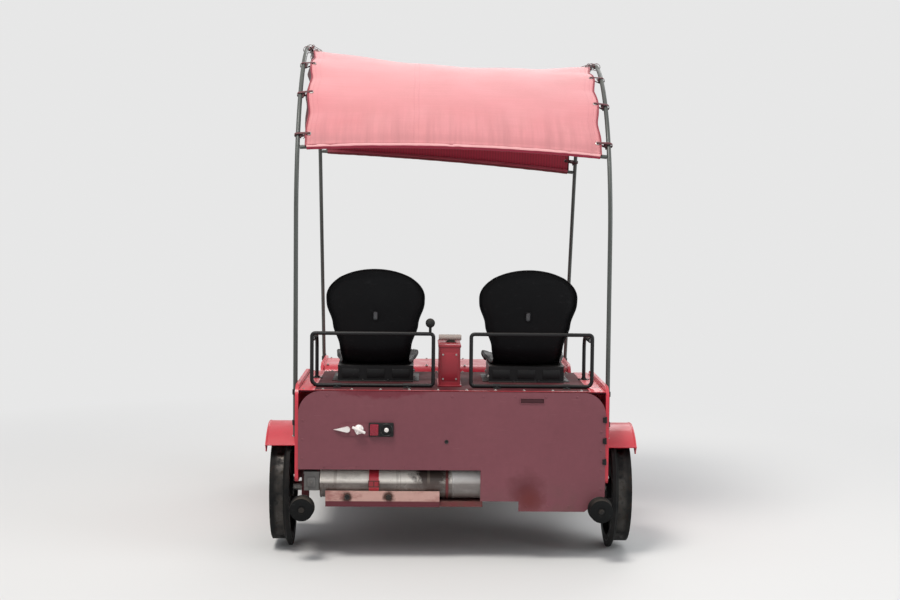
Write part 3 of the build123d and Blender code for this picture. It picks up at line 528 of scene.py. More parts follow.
def wheel_finish(name, axle_y):
    """Black cast wheel, with metal bared on the tread between its two radii."""
    finish, tree, shader = new_finish(name, (0.02, 0.02, 0.02), 0.6)
    shader.inputs["Specular IOR Level"].default_value = 0.10
    at = places(tree, shift=(0, -axle_y, -AXLE_Z))
    parts = add(tree, "ShaderNodeSeparateXYZ", [("Vector", at)]).outputs
    squares = [times(tree, parts[letter], parts[letter]) for letter in "YZ"]
    radius = figure(tree, "SQRT", figure(tree, "ADD", *squares))
    from_middle = figure(tree, "ABSOLUTE", parts["X"])
    tread = times(tree, spread(tree, radius, TREAD_LOW - 0.002, TREAD_LOW),
                  spread(tree, radius, TREAD_HIGH + 0.001, TREAD_HIGH),
                  spread(tree, from_middle, 0.752, 0.738))
    cast = mixed(tree, patches(tree, 16.0, 0.35, 0.7, 7.0), (0.008, 0.0085, 0.009), (0.019, 0.018, 0.017))
    rusty = times(tree, patches(tree, 26.0, 0.60, 0.68, 8.0), 0.45)
    skin = mixed(tree, rusty, cast, (0.040, 0.020, 0.013))
    shiny = mixed(tree, patches(tree, 40.0, 0.4, 0.7, 6.0), (0.080, 0.076, 0.072), (0.035, 0.030, 0.026))
    bared = times(tree, tread, patches(tree, 20.0, 0.38, 0.58, 5.0))
    tree.links.new(mixed(tree, bared, skin, shiny), shader.inputs["Base Color"])
    tree.links.new(bared, shader.inputs["Metallic"])
    tree.links.new(spread(tree, bared, 0.0, 1.0, 0.66, 0.33), shader.inputs["Roughness"])
    relief(tree, shader, grain(tree, 240.0, 4.0), 0.0005, 0.5)
    return finish


rear_wheel_black = wheel_finish("rear_wheel_black", REAR_AXLE)
front_wheel_black = wheel_finish("front_wheel_black", FRONT_AXLE)
print("wheels:", rear_wheel_black.name, front_wheel_black.name)

# %% [markdown]
# The canopy is a coated mesh cloth. Its threads go over and under each other, so the weave's height is the
# warp in one cell and the weft in the next; the low points between threads are painted darker, as shade.
# Where the cloth faces up it is painted paler, partly as sun fading and partly as painted light. Dirt lies on
# it in patches. Towards its rear hem it is painted darker in streaks, as shade; a band just above that hem
# and the gullies beside its seams are painted darker, as shade too. Where it faces down it is painted a
# ribbed dark wine red, as shade, through which a little light comes. The pattern is laid on the cloth's own
# UV map, which is in metres, so it bends with the sheet.

# %% Canopy cloth
def woven(name, colour, faded, thread, glow, seams=()):
    """Mesh cloth on a UV map in metres. Seams are values of U where two lengths are sewn together."""
    finish, tree, shader = new_finish(name, colour, 0.62)
    uv = add(tree, "ShaderNodeTexCoord").outputs["UV"]
    u, v = [axis_of(tree, letter, uv) for letter in "XY"]
    warp = figure(tree, "SINE", times(tree, u, math.pi / thread))
    weft = figure(tree, "SINE", times(tree, v, math.pi / thread))
    over = figure(tree, "GREATER_THAN", times(tree, warp, weft), 0.0)
    warp, weft = figure(tree, "ABSOLUTE", warp), figure(tree, "ABSOLUTE", weft)
    height = figure(tree, "ADD", times(tree, warp, over),
                    times(tree, weft, figure(tree, "SUBTRACT", 1.0, over)))
    slubs = grain(tree, 1.0, 3.0, at=places(tree, (3.0, 160.0, 1), start=uv))
    clouds = patches(tree, 1.7, 0.35, 0.7, 4.0)
    # Paler where the cloth faces up: random sun fading, and painted light on the top.
    faded_and_lit = figure(tree, "MAXIMUM", times(tree, clouds, 0.5), upward(tree, 0.55, 0.98))
    skin = mixed(tree, faded_and_lit, colour, faded)
    skin = mixed(tree, spread(tree, slubs, 0.40, 0.62, 0.08, 0.0), skin, tuple(c * 0.6 for c in colour))
    # Painted shade: the weave's low points, between threads, are darker.
    skin = mixed(tree, spread(tree, height, 0.15, 0.75, 0.20, 0.0), skin, tuple(c * 0.45 for c in colour))
    dirt = patches(tree, 6.0, 0.42, 0.72, 7.0)
    skin = mixed(tree, times(tree, dirt, 0.16), skin, (0.42, 0.20, 0.17))
    # Painted shade: darker streaks towards the rear hem.
    low_edge = spread(tree, v, 0.24, 0.02)
    streaks = grain(tree, 1.0, 5.0, at=places(tree, (22.0, 2.0, 1), start=uv))
    shaded_low_edge = times(tree, low_edge, spread(tree, streaks, 0.40, 0.65))
    skin = mixed(tree, times(tree, shaded_low_edge, 0.60), skin, (0.42, 0.155, 0.165))
    ridge = 0.0
    for place in seams:
        away = figure(tree, "ABSOLUTE", figure(tree, "SUBTRACT", u, place))
        band = spread(tree, away, 0.0095, 0.0085)
        gully = times(tree, spread(tree, away, 0.0090, 0.0100), spread(tree, away, 0.0125, 0.0105))
        ridge = figure(tree, "ADD", ridge, figure(tree, "SUBTRACT", band, gully))
        # Painted shade: the gully beside each seam is darker.
        skin = mixed(tree, times(tree, gully, 0.22), skin, (0.50, 0.16, 0.19))
    if seams:
        # Painted shade: a darker band just above the rear hem.
        fold = times(tree, spread(tree, v, 0.016, 0.022), spread(tree, v, 0.060, 0.034))
        skin = mixed(tree, times(tree, fold, 0.34), skin, (0.46, 0.17, 0.18))
    # Painted shade: where the cloth faces down it takes a dark ribbed wine red.
    underside_shade = tuple(c * share for c, share in zip(colour, (0.52, 0.055, 0.15)))
    ribs = spread(tree, figure(tree, "SINE", times(tree, u, math.tau / 0.014)), -0.2, 0.7)
    underside_shade = mixed(tree, times(tree, ribs, 0.5), underside_shade, tuple(c * 0.4 for c in underside_shade))
    skin = mixed(tree, upward(tree, -0.15, 0.02), underside_shade, skin)
    tree.links.new(skin, shader.inputs["Base Color"])
    shader.inputs["Sheen Weight"].default_value = 0.12
    shader.inputs["Sheen Roughness"].default_value = 0.4
    relief(tree, shader, height, 0.0006, 0.3)
    if seams:
        relief(tree, shader, ridge, 0.0012, 0.4)
    through = add(tree, "ShaderNodeBsdfTranslucent", [("Color", (0.45, 0.015, 0.04, 1))])
    mix = add(tree, "ShaderNodeMixShader", [
        ("Fac", glow), (1, shader.outputs["BSDF"]), (2, through.outputs["BSDF"])])
    tree.links.new(mix.outputs["Shader"], tree.nodes["Material Output"].inputs["Surface"])
    return finish

# %% [markdown]
# One recipe gives four cloths: the salmon sheet with its seams, a paler hem cloth painted as a highlight, a
# dark wine-red copy painted as shade, and the dark webbing of the ties. Only their colours, threads and seams
# differ.

# %% The canopy's four cloths
canopy_cloth = woven("canopy_cloth", (0.66, 0.225, 0.240), (0.80, 0.395, 0.410), 0.0042,
                     seams=(0.030, 0.465, 1.220), glow=0.10)
# The hem cloth is paler, as a painted highlight on the rolled rear hem.
lit_hem_cloth = woven("lit_hem_cloth", (0.76, 0.36, 0.37), (0.82, 0.46, 0.46), 0.0042, glow=0.05)
# This dark copy of the cloth is painted shade.
shaded_cloth = woven("shaded_cloth", (0.26, 0.020, 0.040), (0.30, 0.040, 0.060), 0.0042, glow=0.05)
tie_cloth = woven("tie_cloth", (0.055, 0.008, 0.014), (0.09, 0.016, 0.024), 0.0012, glow=0.03)
print("cloths:", canopy_cloth.name, lit_hem_cloth.name, shaded_cloth.name, tie_cloth.name)

# %% [markdown]
# The floor is a bare steel sheet, greyed by shoes and muddy in its corners. Every solid now gets its finish
# through its material slot; the solids' own meshes aren't touched.

# %% Dress the solids
floor_steel = paint("floor_steel", (0.20, 0.195, 0.19), (0.30, 0.29, 0.28), 0.45, 1.0, 0.25,
                    mud_top=0.62, bare=(0.34, 0.33, 0.32))[0]
finishes = {
    "red_paint": red_paint, "maroon_paint": maroon_paint, "frame_paint": frame_paint,
    "black_paint": black_paint, "hoop_paint": hoop_paint, "seat_plastic": seat_plastic,
    "tyre_black": rear_wheel_black, "shaft_steel": shaft_steel, "buffer_rubber": buffer_rubber,
    "worn_tube": worn_tube, "tow_paint": tow_paint, "grey_paint": grey_paint,
    "plate_metal": plate_metal, "pedal_plastic": pedal_plastic, "chain_steel": chain_steel,
    "canopy_cloth": canopy_cloth, "floor_steel": floor_steel, "lever_metal": chrome,
}
own_finishes = {"front_wheel_left": front_wheel_black, "front_wheel_right": front_wheel_black,
                "latch_plate": maroon_paint, "console": console_paint, "seat_deck": shaded_deck_paint}
for name, solid in nodes.items():
    for held in solid.material_slots:
        held.material = own_finishes.get(name) or finishes[held.material.name.split(".")[0]]
print("dressed:", {n: o.material_slots[0].material.name for n, o in nodes.items()})

# %% [markdown]
# Cloth, seat shells and sleeves are all sheets, so they are made alike. A flat grid is cut to its real
# size, which gives it a UV map in metres, and then a rule puts each of its points in place. A cloth
# simulation would also drape the canopy, but this sheet is stretched tight between four tubes, and its
# shape is known: arcs along it, a sag across it, and a scallop between each pair of ties.

# %% Sheets laid by a rule
def laid(bm, columns, rows, width, length, place):
    """A grid of faces with UVs in metres. The rule takes a share across and a share along to a point."""
    uv = bm.loops.layers.uv.active or bm.loops.layers.uv.new("UVMap")
    made = bmesh.ops.create_grid(bm, x_segments=columns, y_segments=rows, size=0.5, calc_uvs=True)["verts"]
    for face in {f for v in made for f in v.link_faces}:
        for loop in face.loops:
            share = loop.vert.co
            loop[uv].uv = ((share.x + 0.5) * width, (share.y + 0.5) * length)
    for v in made:
        v.co = Vector(place(v.co.x + 0.5, v.co.y + 0.5))


def between(a, b, share):
    """The value or point that lies at a share of the way from a to b."""
    return a + (b - a) * share


def eased(share):
    """0 below 0, 1 above 1, and a smooth step between."""
    share = min(max(share, 0.0), 1.0)
    return share * share * (3 - 2 * share)


print("eased half way:", eased(0.5))

# %% [markdown]
# A hem or a rope is a tube round a path, and a path's corners are arcs. The tube is one more sheet, rolled
# up. It carries its own sideways direction along the path, so that it doesn't twist. A curve with a bevel
# could do this too, but here the tube gets a UV map in metres like the other sheets.

# %% Paths and sleeves
def rounded(corners, radii, steps):
    """Points of a polyline whose inner corners are rounded to radii."""
    corners = [Vector(c) for c in corners]
    path = [corners[0]]
    for before, corner, after, radius in zip(corners, corners[1:], corners[2:], radii):
        one, two = (before - corner).normalized(), (after - corner).normalized()
        half = one.angle(two) / 2
        middle = corner + (one + two).normalized() * radius / math.sin(half)
        start, end = corner + one * radius / math.tan(half), corner + two * radius / math.tan(half)
        first, last = (start - middle).normalized(), (end - middle).normalized()
        for i in range(steps + 1):
            path.append(middle + first.slerp(last, i / steps) * radius)
    return path + [corners[-1]]


def along(path, share):
    """The point at a share of a path's length."""
    lengths = [(b - a).length for a, b in zip(path, path[1:])]
    left = share * sum(lengths)
    for a, b, length in zip(path, path[1:], lengths):
        if left <= length or b is path[-1]:
            return a + (b - a) * (left / length if length else 0.0)
        left -= length


def sleeve(bm, path, radius, columns, wobble=0.0):
    """A tube of cloth, cord or rubber round a path, with UVs in metres."""
    path = [Vector(p) for p in path]
    count = len(path) - 1
    steps = [b - a for a, b in zip(path, path[1:])]
    length = sum(s.length for s in steps)
    ahead = [steps[0]] + [a + b for a, b in zip(steps, steps[1:])] + [steps[-1]]
    side = ahead[0].orthogonal().normalized()
    frames = []
    for direction in ahead:
        direction = direction.normalized()
        side = (side - direction * side.dot(direction)).normalized()
        frames.append((side.copy(), direction.cross(side)))

    def place(u, v):
        i = round(v * count)
        a, b = frames[i]
        angle = u * math.tau
        way = Vector((math.cos(angle), math.sin(angle), 0))
        out = radius * (1 + wobble * noise.noise(path[i] * 30 + way))
        return path[i] + (a * math.cos(angle) + b * math.sin(angle)) * out

    laid(bm, columns, count, math.tau * radius, length, place)


print("half way round a corner:", along(rounded([(0, 0), (1, 0), (1, 1)], [0.5], 4), 0.5))

# %% [markdown]
# The canopy's two hoops stand at slightly different heights, as in the photograph, so the sheet is twisted.
# Its two hems lie on the cross bars, which bow up in the middle. Along the car the sheet runs up an arc,
# over a short crown and down another arc. Between the hoops it sags, and its long edges hang between their
# ties.

# %% Where the canopy runs
HOOP_X, BEND, CROWN_FLAT, REAR_POST_Y = 0.6635, 0.800, 0.040, -0.980
CRESTS, REAR_HEMS, BAR_BACKS = (2.215, 2.145), (1.726, 1.697), (5.4, 2.0)
FRONT_FOOT = Vector((1.020, 0.560))
BOWS = (0.025, 0.012)
CLOTH_HALF, CLOTH_DROP, CLOTH_SAG, ON_BAR = 0.625, 0.025, 0.045, 0.0103
TUBE_RADIUS, BAR_RADIUS = 0.0095, 0.0085
CLOTH_THICKNESS = 0.0014
TIES, FIRST_TIE = 9, 0.030


def hoop_middles(crest):
    """Middles of a hoop's rear and front bends in (y, z), and the angle to which the front one runs."""
    rear = Vector((REAR_POST_Y + BEND, crest - BEND))
    front = rear + Vector((CROWN_FLAT, 0))
    to_foot = FRONT_FOOT - front
    return rear, front, math.atan2(to_foot.x, to_foot.y) - math.acos(BEND / to_foot.length)


def hem_angles(share):
    """Angles of the rear and the front hem from the crest, at a share from the left hoop to the right."""
    rears = [math.acos((hem - crest + BEND) / BEND) for crest, hem in zip(CRESTS, REAR_HEMS)]
    fronts = [hoop_middles(crest)[2] - math.radians(back) for crest, back in zip(CRESTS, BAR_BACKS)]
    return between(*rears, share), between(*fronts, share)


def bar_point(end, x):
    """A point of the rear (end 0) or front (end 1) cross bar's middle line."""
    ends = []
    for which, crest in enumerate(CRESTS):
        middle, angle = hoop_middles(crest)[end], hem_angles(which)[end]
        way = 1 if end else -1
        ends.append(Vector((0, middle.x + way * BEND * math.sin(angle), middle.y + BEND * math.cos(angle))))
    point = between(*ends, (x + HOOP_X) / (2 * HOOP_X))
    return Vector((x, point.y, point.z + BOWS[end] * (1 - (x / HOOP_X) ** 2)))


print("hems lie", [round(math.degrees(a), 1) for a in hem_angles(0.5)], "degrees from the crest")

# %% [markdown]
# The two hoops differ, so the arcs of the sheet are worked out anew at each x. A point is then found by
# walking up the rear arc, over the flat crown and down the front arc.

# %% Points of the sheet
def canopy_run(x):
    """The arcs of the sheet at x: for each end its middle, radius and angle."""
    share = (x + HOOP_X) / (2 * HOOP_X)
    crest = between(*CRESTS, share) - CLOTH_DROP - CLOTH_SAG * (1 - min((x / CLOTH_HALF) ** 2, 1.0))
    run = []
    for end, way in ((0, -1), (1, 1)):
        hem, angle = bar_point(end, x), hem_angles(share)[end]
        radius = (crest - hem.z) / (1 - math.cos(angle))
        run.append((hem.y - way * radius * math.sin(angle), crest - radius, radius + ON_BAR, angle))
    return run


def canopy_point(x, share, proud=0.0):
    """A point of the sheet at x, at a share of its length from the rear hem, and its upward normal."""
    (rear_y, rear_z, rear_r, rear_a), (front_y, front_z, front_r, front_a) = canopy_run(x)
    flat = front_y - rear_y
    s = share * (rear_r * rear_a + flat + front_r * front_a)
    if s < rear_r * rear_a:
        angle, middle, radius = s / rear_r - rear_a, (rear_y, rear_z), rear_r
    elif s < rear_r * rear_a + flat:
        angle, middle, radius = 0.0, (rear_y + s - rear_r * rear_a, rear_z), rear_r
    else:
        angle, middle, radius = (s - rear_r * rear_a - flat) / front_r, (front_y, front_z), front_r
    normal = Vector((0, math.sin(angle), math.cos(angle)))
    return Vector((x, middle[0], middle[1])) + normal * (radius + proud), normal


canopy_length = sum(r * a for y, z, r, a in canopy_run(0)) + canopy_run(0)[1][0] - canopy_run(0)[0][0]
print("canopy runs", round(canopy_length, 3), "m from hem to hem")

# %% [markdown]
# Ties hold each long edge at nine places. At a tie the edge is pulled out and up towards the tube; between
# ties it draws in and droops, and shallow folds run a hand's width into the sheet.

# %% The sheet
def edge_pull(share):
    """1 at a tie and 0 midway between two ties."""
    along_ties = min(max((share - FIRST_TIE) / (1 - 2 * FIRST_TIE), 0.0), 1.0)
    return abs(math.cos(along_ties * (TIES - 1) * math.pi)) ** 1.4


def canopy_place(u, v):
    """The rule that lays the sheet, at a share across and a share along."""
    side = 2 * u - 1
    pull = edge_pull(v)
    half = CLOTH_HALF + 0.004 - 0.010 * (1 - pull)
    x = side * half
    near_edge = math.exp(-(1 - abs(side)) * CLOTH_HALF / 0.085)
    near_hem = eased(min(v, 1 - v) / 0.05)
    fold = near_edge * (0.011 * pull - 0.006) * near_hem
    ripple = 0.0035 * noise.noise(Vector((x * 2.3, v * 5.0, 3.0)))
    ripple += 0.0012 * noise.noise(Vector((x * 9, v * 22, 8.0)))
    drag = 0.0022 * math.sin(math.tau * (x * 3.1 + v * 1.3)) * near_hem
    return canopy_point(x, v, fold + (ripple + drag) * near_hem)[0]


bm = bmesh.new()
laid(bm, 96, 176, 2 * CLOTH_HALF, canopy_length, canopy_place)
canopy = piece(bm, "canopy_sheet", canopy_cloth)
thicken(canopy, CLOTH_THICKNESS, 0.0)
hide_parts("canopy_cloth")

# %% [markdown]
# Each hem is turned round its cross bar and sewn. The rear one is painted pale, as a highlight on its rolled
# edge. The front one and the thin rope inside each long edge are painted dark wine red, as shade. On the left
# the spare cloth outside the ties hangs down as a narrow flap, painted in the dark webbing colour as shade.

# %% Hems, edge ropes and flap
# The rear hem's pale cloth is a painted highlight; the front hem's dark cloth is painted shade.
for end, name, finish in ((0, "rear_hem", lit_hem_cloth), (1, "front_hem", shaded_cloth)):
    bm = bmesh.new()
    path = [bar_point(end, x / 60 * CLOTH_HALF) for x in range(-60, 61)]
    sleeve(bm, path, BAR_RADIUS + 0.0035, 16, 0.10)
    piece(bm, "canopy_" + name, finish)

bm = bmesh.new()
for u in (0.0, 1.0):
    sleeve(bm, [canopy_place(u, i / 160) for i in range(161)], 0.0036, 8, 0.25)
# The edge ropes' dark wine red is painted shade.
edge_ropes = piece(bm, "canopy_edge_ropes", shaded_cloth)


FLAP_LONG, FLAP_WIDE = 0.60, 0.052


def flap_place(u, v):
    """The rule that hangs the flap from the sheet's left edge."""
    top = canopy_place(0.0, 0.02 + FLAP_LONG * v)
    hang = 0.048 * math.sin(math.pi * min(max(v * 1.02, 0.0), 1.0)) ** 0.4 + 0.004
    wave = 0.006 * math.sin(v * 41) * u + 0.004 * noise.noise(Vector((v * 9, u * 2, 1.0)))
    return top + Vector((-0.016 * u * (1 - 0.3 * u) + wave, -0.008 * u, -hang * u))


bm = bmesh.new()
laid(bm, 8, 120, FLAP_WIDE, FLAP_LONG * canopy_length, flap_place)
# The flap's dark webbing colour is painted shade on spare canopy cloth.
flap = piece(bm, "canopy_flap", tie_cloth)
thicken(flap, CLOTH_THICKNESS, -1.0)

# %% [markdown]
# A tie is a short strap of dark red webbing. It goes through a brass eyelet near the edge and round the
# tube, and its two ends hang from the knot. Seen along the tube the strap is the outline of two discs, a
# large one for the tube and a small one at the eyelet, so each of its points is pushed out from the disc it
# leans on.

# %% Ties and eyelets
STRAP_WIDE, STRAP_ROOM, HOLE_ROOM = 0.010, 0.0028, 0.0045


def strap_rule(tube, hole, across, normal, slack):
    """The rule that lays one strap round the discs at the tube and at the eyelet's hole."""
    at_tube = TUBE_RADIUS + STRAP_ROOM + slack

    def place(w, t):
        angle = t * math.tau
        out = across * math.cos(angle) + normal * math.sin(angle)
        on_tube = tube.dot(out) + at_tube > hole.dot(out) + HOLE_ROOM
        centre, radius = (tube, at_tube) if on_tube else (hole, HOLE_ROOM)
        return centre + out * radius + across.cross(normal) * (w - 0.5) * STRAP_WIDE

    return place


bm, rings = bmesh.new(), bmesh.new()
maker = random.Random(7)
for u, side in ((0.0, -1), (1.0, 1)):
    rear_middle, front_middle = hoop_middles(CRESTS[0] if side < 0 else CRESTS[1])[:2]
    for i in range(TIES):
        share = between(FIRST_TIE, 1 - FIRST_TIE, i / (TIES - 1))
        edge = canopy_place(u, share)
        middle = rear_middle if edge.y < rear_middle.x else front_middle
        if rear_middle.x < edge.y < front_middle.x:
            middle = Vector((edge.y, rear_middle.y))
        away = (Vector((edge.y, edge.z)) - middle).normalized()
        tube = Vector((side * HOOP_X, middle.x + away.x * BEND, middle.y + away.y * BEND))
        hole = edge + Vector((-side * 0.014, 0, 0))
        across, normal = Vector((side, 0, 0)), Vector((0, away.x, away.y))
        forward = across.cross(normal)
        slack = maker.uniform(0.0, 0.004)
        laid(bm, 2, 26, STRAP_WIDE, 0.12, strap_rule(tube, hole, across, normal, slack))
        knot = tube - across * (TUBE_RADIUS + 0.005) + normal * 0.008
        sleeve(bm, [knot + forward * 0.004, knot, knot - forward * 0.004], 0.0060, 8)
        for lean in (-1, 1):
            drop = maker.uniform(0.012, 0.024)
            start, fall = knot + forward * 0.003 * lean, Vector((side * 0.004, 0.003 * lean, -drop))
            sleeve(bm, [start + fall * t for t in (0, 0.35, 0.7, 1)], 0.0022, 6)
        up_here = canopy_point(hole.x, share)[1]
        turned(rings, [(-0.0012, 0.0045), (0.0022, 0.0045), (0.0030, 0.0060), (0.0022, 0.0088),
                       (-0.0012, 0.0088), (-0.0012, 0.0045)], hole, up_here, 16)
ties = piece(bm, "canopy_ties", tie_cloth)
thicken(ties, 0.0018, 1.0)
eyelets = piece(rings, "canopy_eyelets", bolt_steel)

# %% [markdown]
# A bucket seat is one moulding about five millimetres thick. Seen from the side it runs from a turned-down
# front lip along the pan, round a wide bend and up a leaning back; its two sides are raised to hold the
# rider. Round it goes a turned-over rim, which makes the thin shell stiff, and a shallow step a finger's
# width inside the rim. A small upright slot in the back, lined with a grey plate, can take a strap. The
# rule below gives the shell's back face.

# %% The seat's shape
SEAT_HALF, SEAT_X = 0.210, 0.330
CROWN_Z, CROWN_RISE = 1.083, 0.122
WIDTHS = ((0.0, 0.168), (0.06, 0.182), (0.22, 0.176), (0.42, 0.156), (0.55, 0.142), (0.66, 0.152),
          (0.81, 0.1815), (0.96, 0.2090), (1.0, 0.2100))
CROWN_FROM = 0.84
SLOT_Z, SLOT_HALF = 1.008, (0.009, 0.017)
BACK_FOOT_Y, BACK_FOOT_Z, BACK_TOP_Z, BACK_LEAN = -0.800, 0.782, 1.214, 0.105
SIDES_AHEAD, SIDES_RISE = 0.036, 0.026
SHELL_LENGTH = 0.75


def seat_half_at(share):
    """Half the shell's width at a share of the way from the front lip to the crown's foot."""
    for (low_share, low), (high_share, high) in zip(WIDTHS, WIDTHS[1:]):
        if share <= high_share:
            return between(low, high, eased((share - low_share) / (high_share - low_share)))
    return SEAT_HALF


def back_y(x, z):
    """How far behind the wheels' middle the back face lies at a height, x from the seat's middle."""
    raised = (x / SEAT_HALF) ** 2
    foot_z = BACK_FOOT_Z + SIDES_RISE * raised
    return BACK_FOOT_Y + SIDES_AHEAD * raised - BACK_LEAN * (z - foot_z) / (BACK_TOP_Z - foot_z)


def seat_path(x):
    """The shell's back face in (y, z), from the front lip to the crown's foot, x from its middle."""
    raised = (x / SEAT_HALF) ** 2
    ahead, rise = SIDES_AHEAD * raised, SIDES_RISE * raised
    corners = [(-0.415, 0.770 + rise), (-0.450, 0.800 + rise), (BACK_FOOT_Y + ahead, BACK_FOOT_Z + rise),
               (back_y(x, CROWN_Z), CROWN_Z)]
    return rounded(corners, [0.025, 0.110], 10)


def seat_point(u, v):
    """A point of the shell's back face, from the front lip (v 0) to the top of the rounded crown (v 1)."""
    side = 2 * u - 1
    if v >= CROWN_FROM:
        up_crown = (v - CROWN_FROM) / (1 - CROWN_FROM)
        x = side * SEAT_HALF * math.sqrt(1 - up_crown ** 2 / 2)
        z = CROWN_Z + CROWN_RISE * up_crown * math.sqrt(1 - side ** 2 / 2)
        return Vector((x, back_y(x, z), z))
    x = side * seat_half_at(v / CROWN_FROM)
    point = along(seat_path(x), v / CROWN_FROM)
    return Vector((x, point.x, point.y))


def seat_place(u, v):
    """The rule that lays the shell, with a shallow step inside its rim."""
    to_right = seat_point(min(u + 0.01, 1), v) - seat_point(max(u - 0.01, 0), v)
    to_top = seat_point(u, min(v + 0.01, 1)) - seat_point(u, max(v - 0.01, 0))
    inward = to_top.cross(to_right).normalized()
    from_edge = min((1 - abs(2 * u - 1)) * SEAT_HALF, v * SHELL_LENGTH, (1 - v) * SHELL_LENGTH)
    return seat_point(u, v) + inward * (0.0060 - 0.0035 * eased((from_edge - 0.026) / 0.012))


print("seat back leans", round(math.degrees(math.atan(BACK_LEAN / (BACK_TOP_Z - BACK_FOOT_Z))), 1), "degrees")

# %% [markdown]
# The slot's faces are deleted from the sheet, and what is left has two kinds of open edge: the rim and the
# slot. Both are extruded three times, out and then back, which is how a moulded lip turns over. Solidify
# gives the wall its thickness afterwards, so the lip gets it too.

# %% Seat shells
for name, side in (("seat_left", -1), ("seat_right", 1)):
    bm = bmesh.new()
    laid(bm, 36, 60, 2 * SEAT_HALF, SHELL_LENGTH, seat_place)
    slot_faces = [f for f in bm.faces if abs(f.calc_center_median().x) < SLOT_HALF[0]
                  and abs(f.calc_center_median().z - SLOT_Z) < SLOT_HALF[1]]
    bmesh.ops.delete(bm, geom=slot_faces, context="FACES")
    rim = [e for e in bm.edges if e.is_boundary]
    for back, out in ((0.004, 0.003), (0.007, 0.001), (0.006, -0.001)):
        grown = bmesh.ops.extrude_edge_only(bm, edges=rim)["geom"]
        new_verts = {v for v in grown if isinstance(v, bmesh.types.BMVert)}
        for v in new_verts:
            inside = abs(v.co.x) < 0.03 and abs(v.co.z - SLOT_Z) < 0.04
            on_back = eased((v.co.z - 0.80) / 0.08)
            away = Vector((0, -on_back, -(1 - on_back)))
            outward = Vector((v.co.x, 0, (v.co.z - 0.95) * on_back)).normalized() * (-1 if inside else 1)
            v.co += away * back * (0.4 if inside else 1) + outward * out * (0 if inside else 1)
        rim = [e for e in grown if isinstance(e, bmesh.types.BMEdge) and e.is_boundary]
    for v in bm.verts:
        v.co.x += side * SEAT_X
    shell = piece(bm, name, seat_plastic)
    thicken(shell, 0.0045, 0.0)
    fine = shell.modifiers.new("fine", "SUBSURF")
    fine.levels = fine.render_levels = 1
    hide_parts("seat_shell_left" if side < 0 else "seat_shell_right")

bm = bmesh.new()
LEAN = Matrix.Rotation(math.atan(BACK_LEAN / (BACK_TOP_Z - BACK_FOOT_Z)), 4, "X")
for side in (-1, 1):
    slab(bm, (side * SEAT_X, back_y(0, SLOT_Z) + 0.0062, SLOT_Z), (0.0115, 0.0015, 0.0220), 0.0008, LEAN)
piece(bm, "seat_slot_liners", plate_grey)

# %% [markdown]
# A roller chain is what makes a pedal drive look real. Its path is a belt round two toothed wheels: an arc
# on the chainring, a straight run, an arc on the rear sprocket and a run back. One link is made once, low
# in faces, and is then set along that path, turned to it, as often as the path has room for.

# %% Roller chains
CHAIN_X, LINKS = 0.281, 174
CRANK_X, CRANK_Y, CRANK_Z = 0.330, 0.250, 0.650
RING_MIDDLE, RING_R = Vector((CRANK_Y, CRANK_Z)), 0.0885
SPROCKET_MIDDLE, SPROCKET_R = Vector((REAR_AXLE, AXLE_Z)), 0.0435


def link_mesh(spread_x):
    """One link along +Y with its two plates at ±spread_x, and the roller and pin at its start."""
    bm = bmesh.new()
    for way in (-1, 1):
        x = way * spread_x
        plate = bar(bm, (x - 0.0005, 0, 0), (x + 0.0005, 0, 0), 0.0041, segments=12)
        for v in plate:
            if v.co.y > 1e-6:
                v.co.y += 0.01526
    bar(bm, (-0.0026, 0, 0), (0.0026, 0, 0), 0.0037, segments=8)
    bar(bm, (-0.0052, 0, 0), (0.0052, 0, 0), 0.0018, segments=6)
    return as_mesh(bm, "link")


def chain_path():
    """The belt round the chainring and the sprocket, as many points in (y, z)."""
    line = RING_MIDDLE - SPROCKET_MIDDLE
    heading = math.atan2(line.y, line.x)
    spread_angle = math.acos((RING_R - SPROCKET_R) / line.length)
    path = []
    for middle, radius, start, sweep in (
        (RING_MIDDLE, RING_R, heading + spread_angle, -2 * spread_angle),
        (SPROCKET_MIDDLE, SPROCKET_R, heading - spread_angle, 2 * spread_angle - math.tau),
    ):
        for i in range(49):
            angle = start + sweep * i / 48
            path.append(middle + radius * Vector((math.cos(angle), math.sin(angle))))
    return path + [path[0]]


def even_points(path, count):
    """Points at equal distances along a closed path."""
    lengths = [(b - a).length for a, b in zip(path, path[1:])]
    gap, travelled, made, target = sum(lengths) / count, 0.0, [], 0.0
    for a, b, length in zip(path, path[1:], lengths):
        while target <= travelled + length and len(made) < count:
            made.append(a + (b - a) * ((target - travelled) / length))
            target += gap
        travelled += length
    return made, gap


print("belt:", len(chain_path()), "points")

# %% [markdown]
# Every second link is an inner one, with its plates closer together. The links of both chains are copied
# into one mesh, because that many objects would be slow to draw.

# %% Set the links along the belt
def stamp(bm, mesh, matrix):
    """Adds a copy of a mesh, moved by a matrix."""
    known = len(bm.verts)
    bm.from_mesh(mesh)
    bm.verts.ensure_lookup_table()
    bmesh.ops.transform(bm, verts=bm.verts[known:], matrix=matrix)


pins, pitch = even_points(chain_path(), LINKS)
links = [link_mesh(0.0041), link_mesh(0.0030)]
bm = bmesh.new()
for side in (-1, 1):
    for i, pin in enumerate(pins):
        to_next = pins[(i + 1) % LINKS] - pin
        turn = Matrix.Rotation(math.atan2(to_next.y, to_next.x), 4, "X")
        stamp(bm, links[i % 2], Matrix.Translation((side * CHAIN_X, pin.x, pin.y)) @ turn)
chain = piece(bm, "roller_chains", chain_steel, smooth=False)
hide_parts("chains")
for mesh in links:
    bpy.data.meshes.remove(mesh)
print("chain pitch", round(pitch * 1000, 2), "mm")

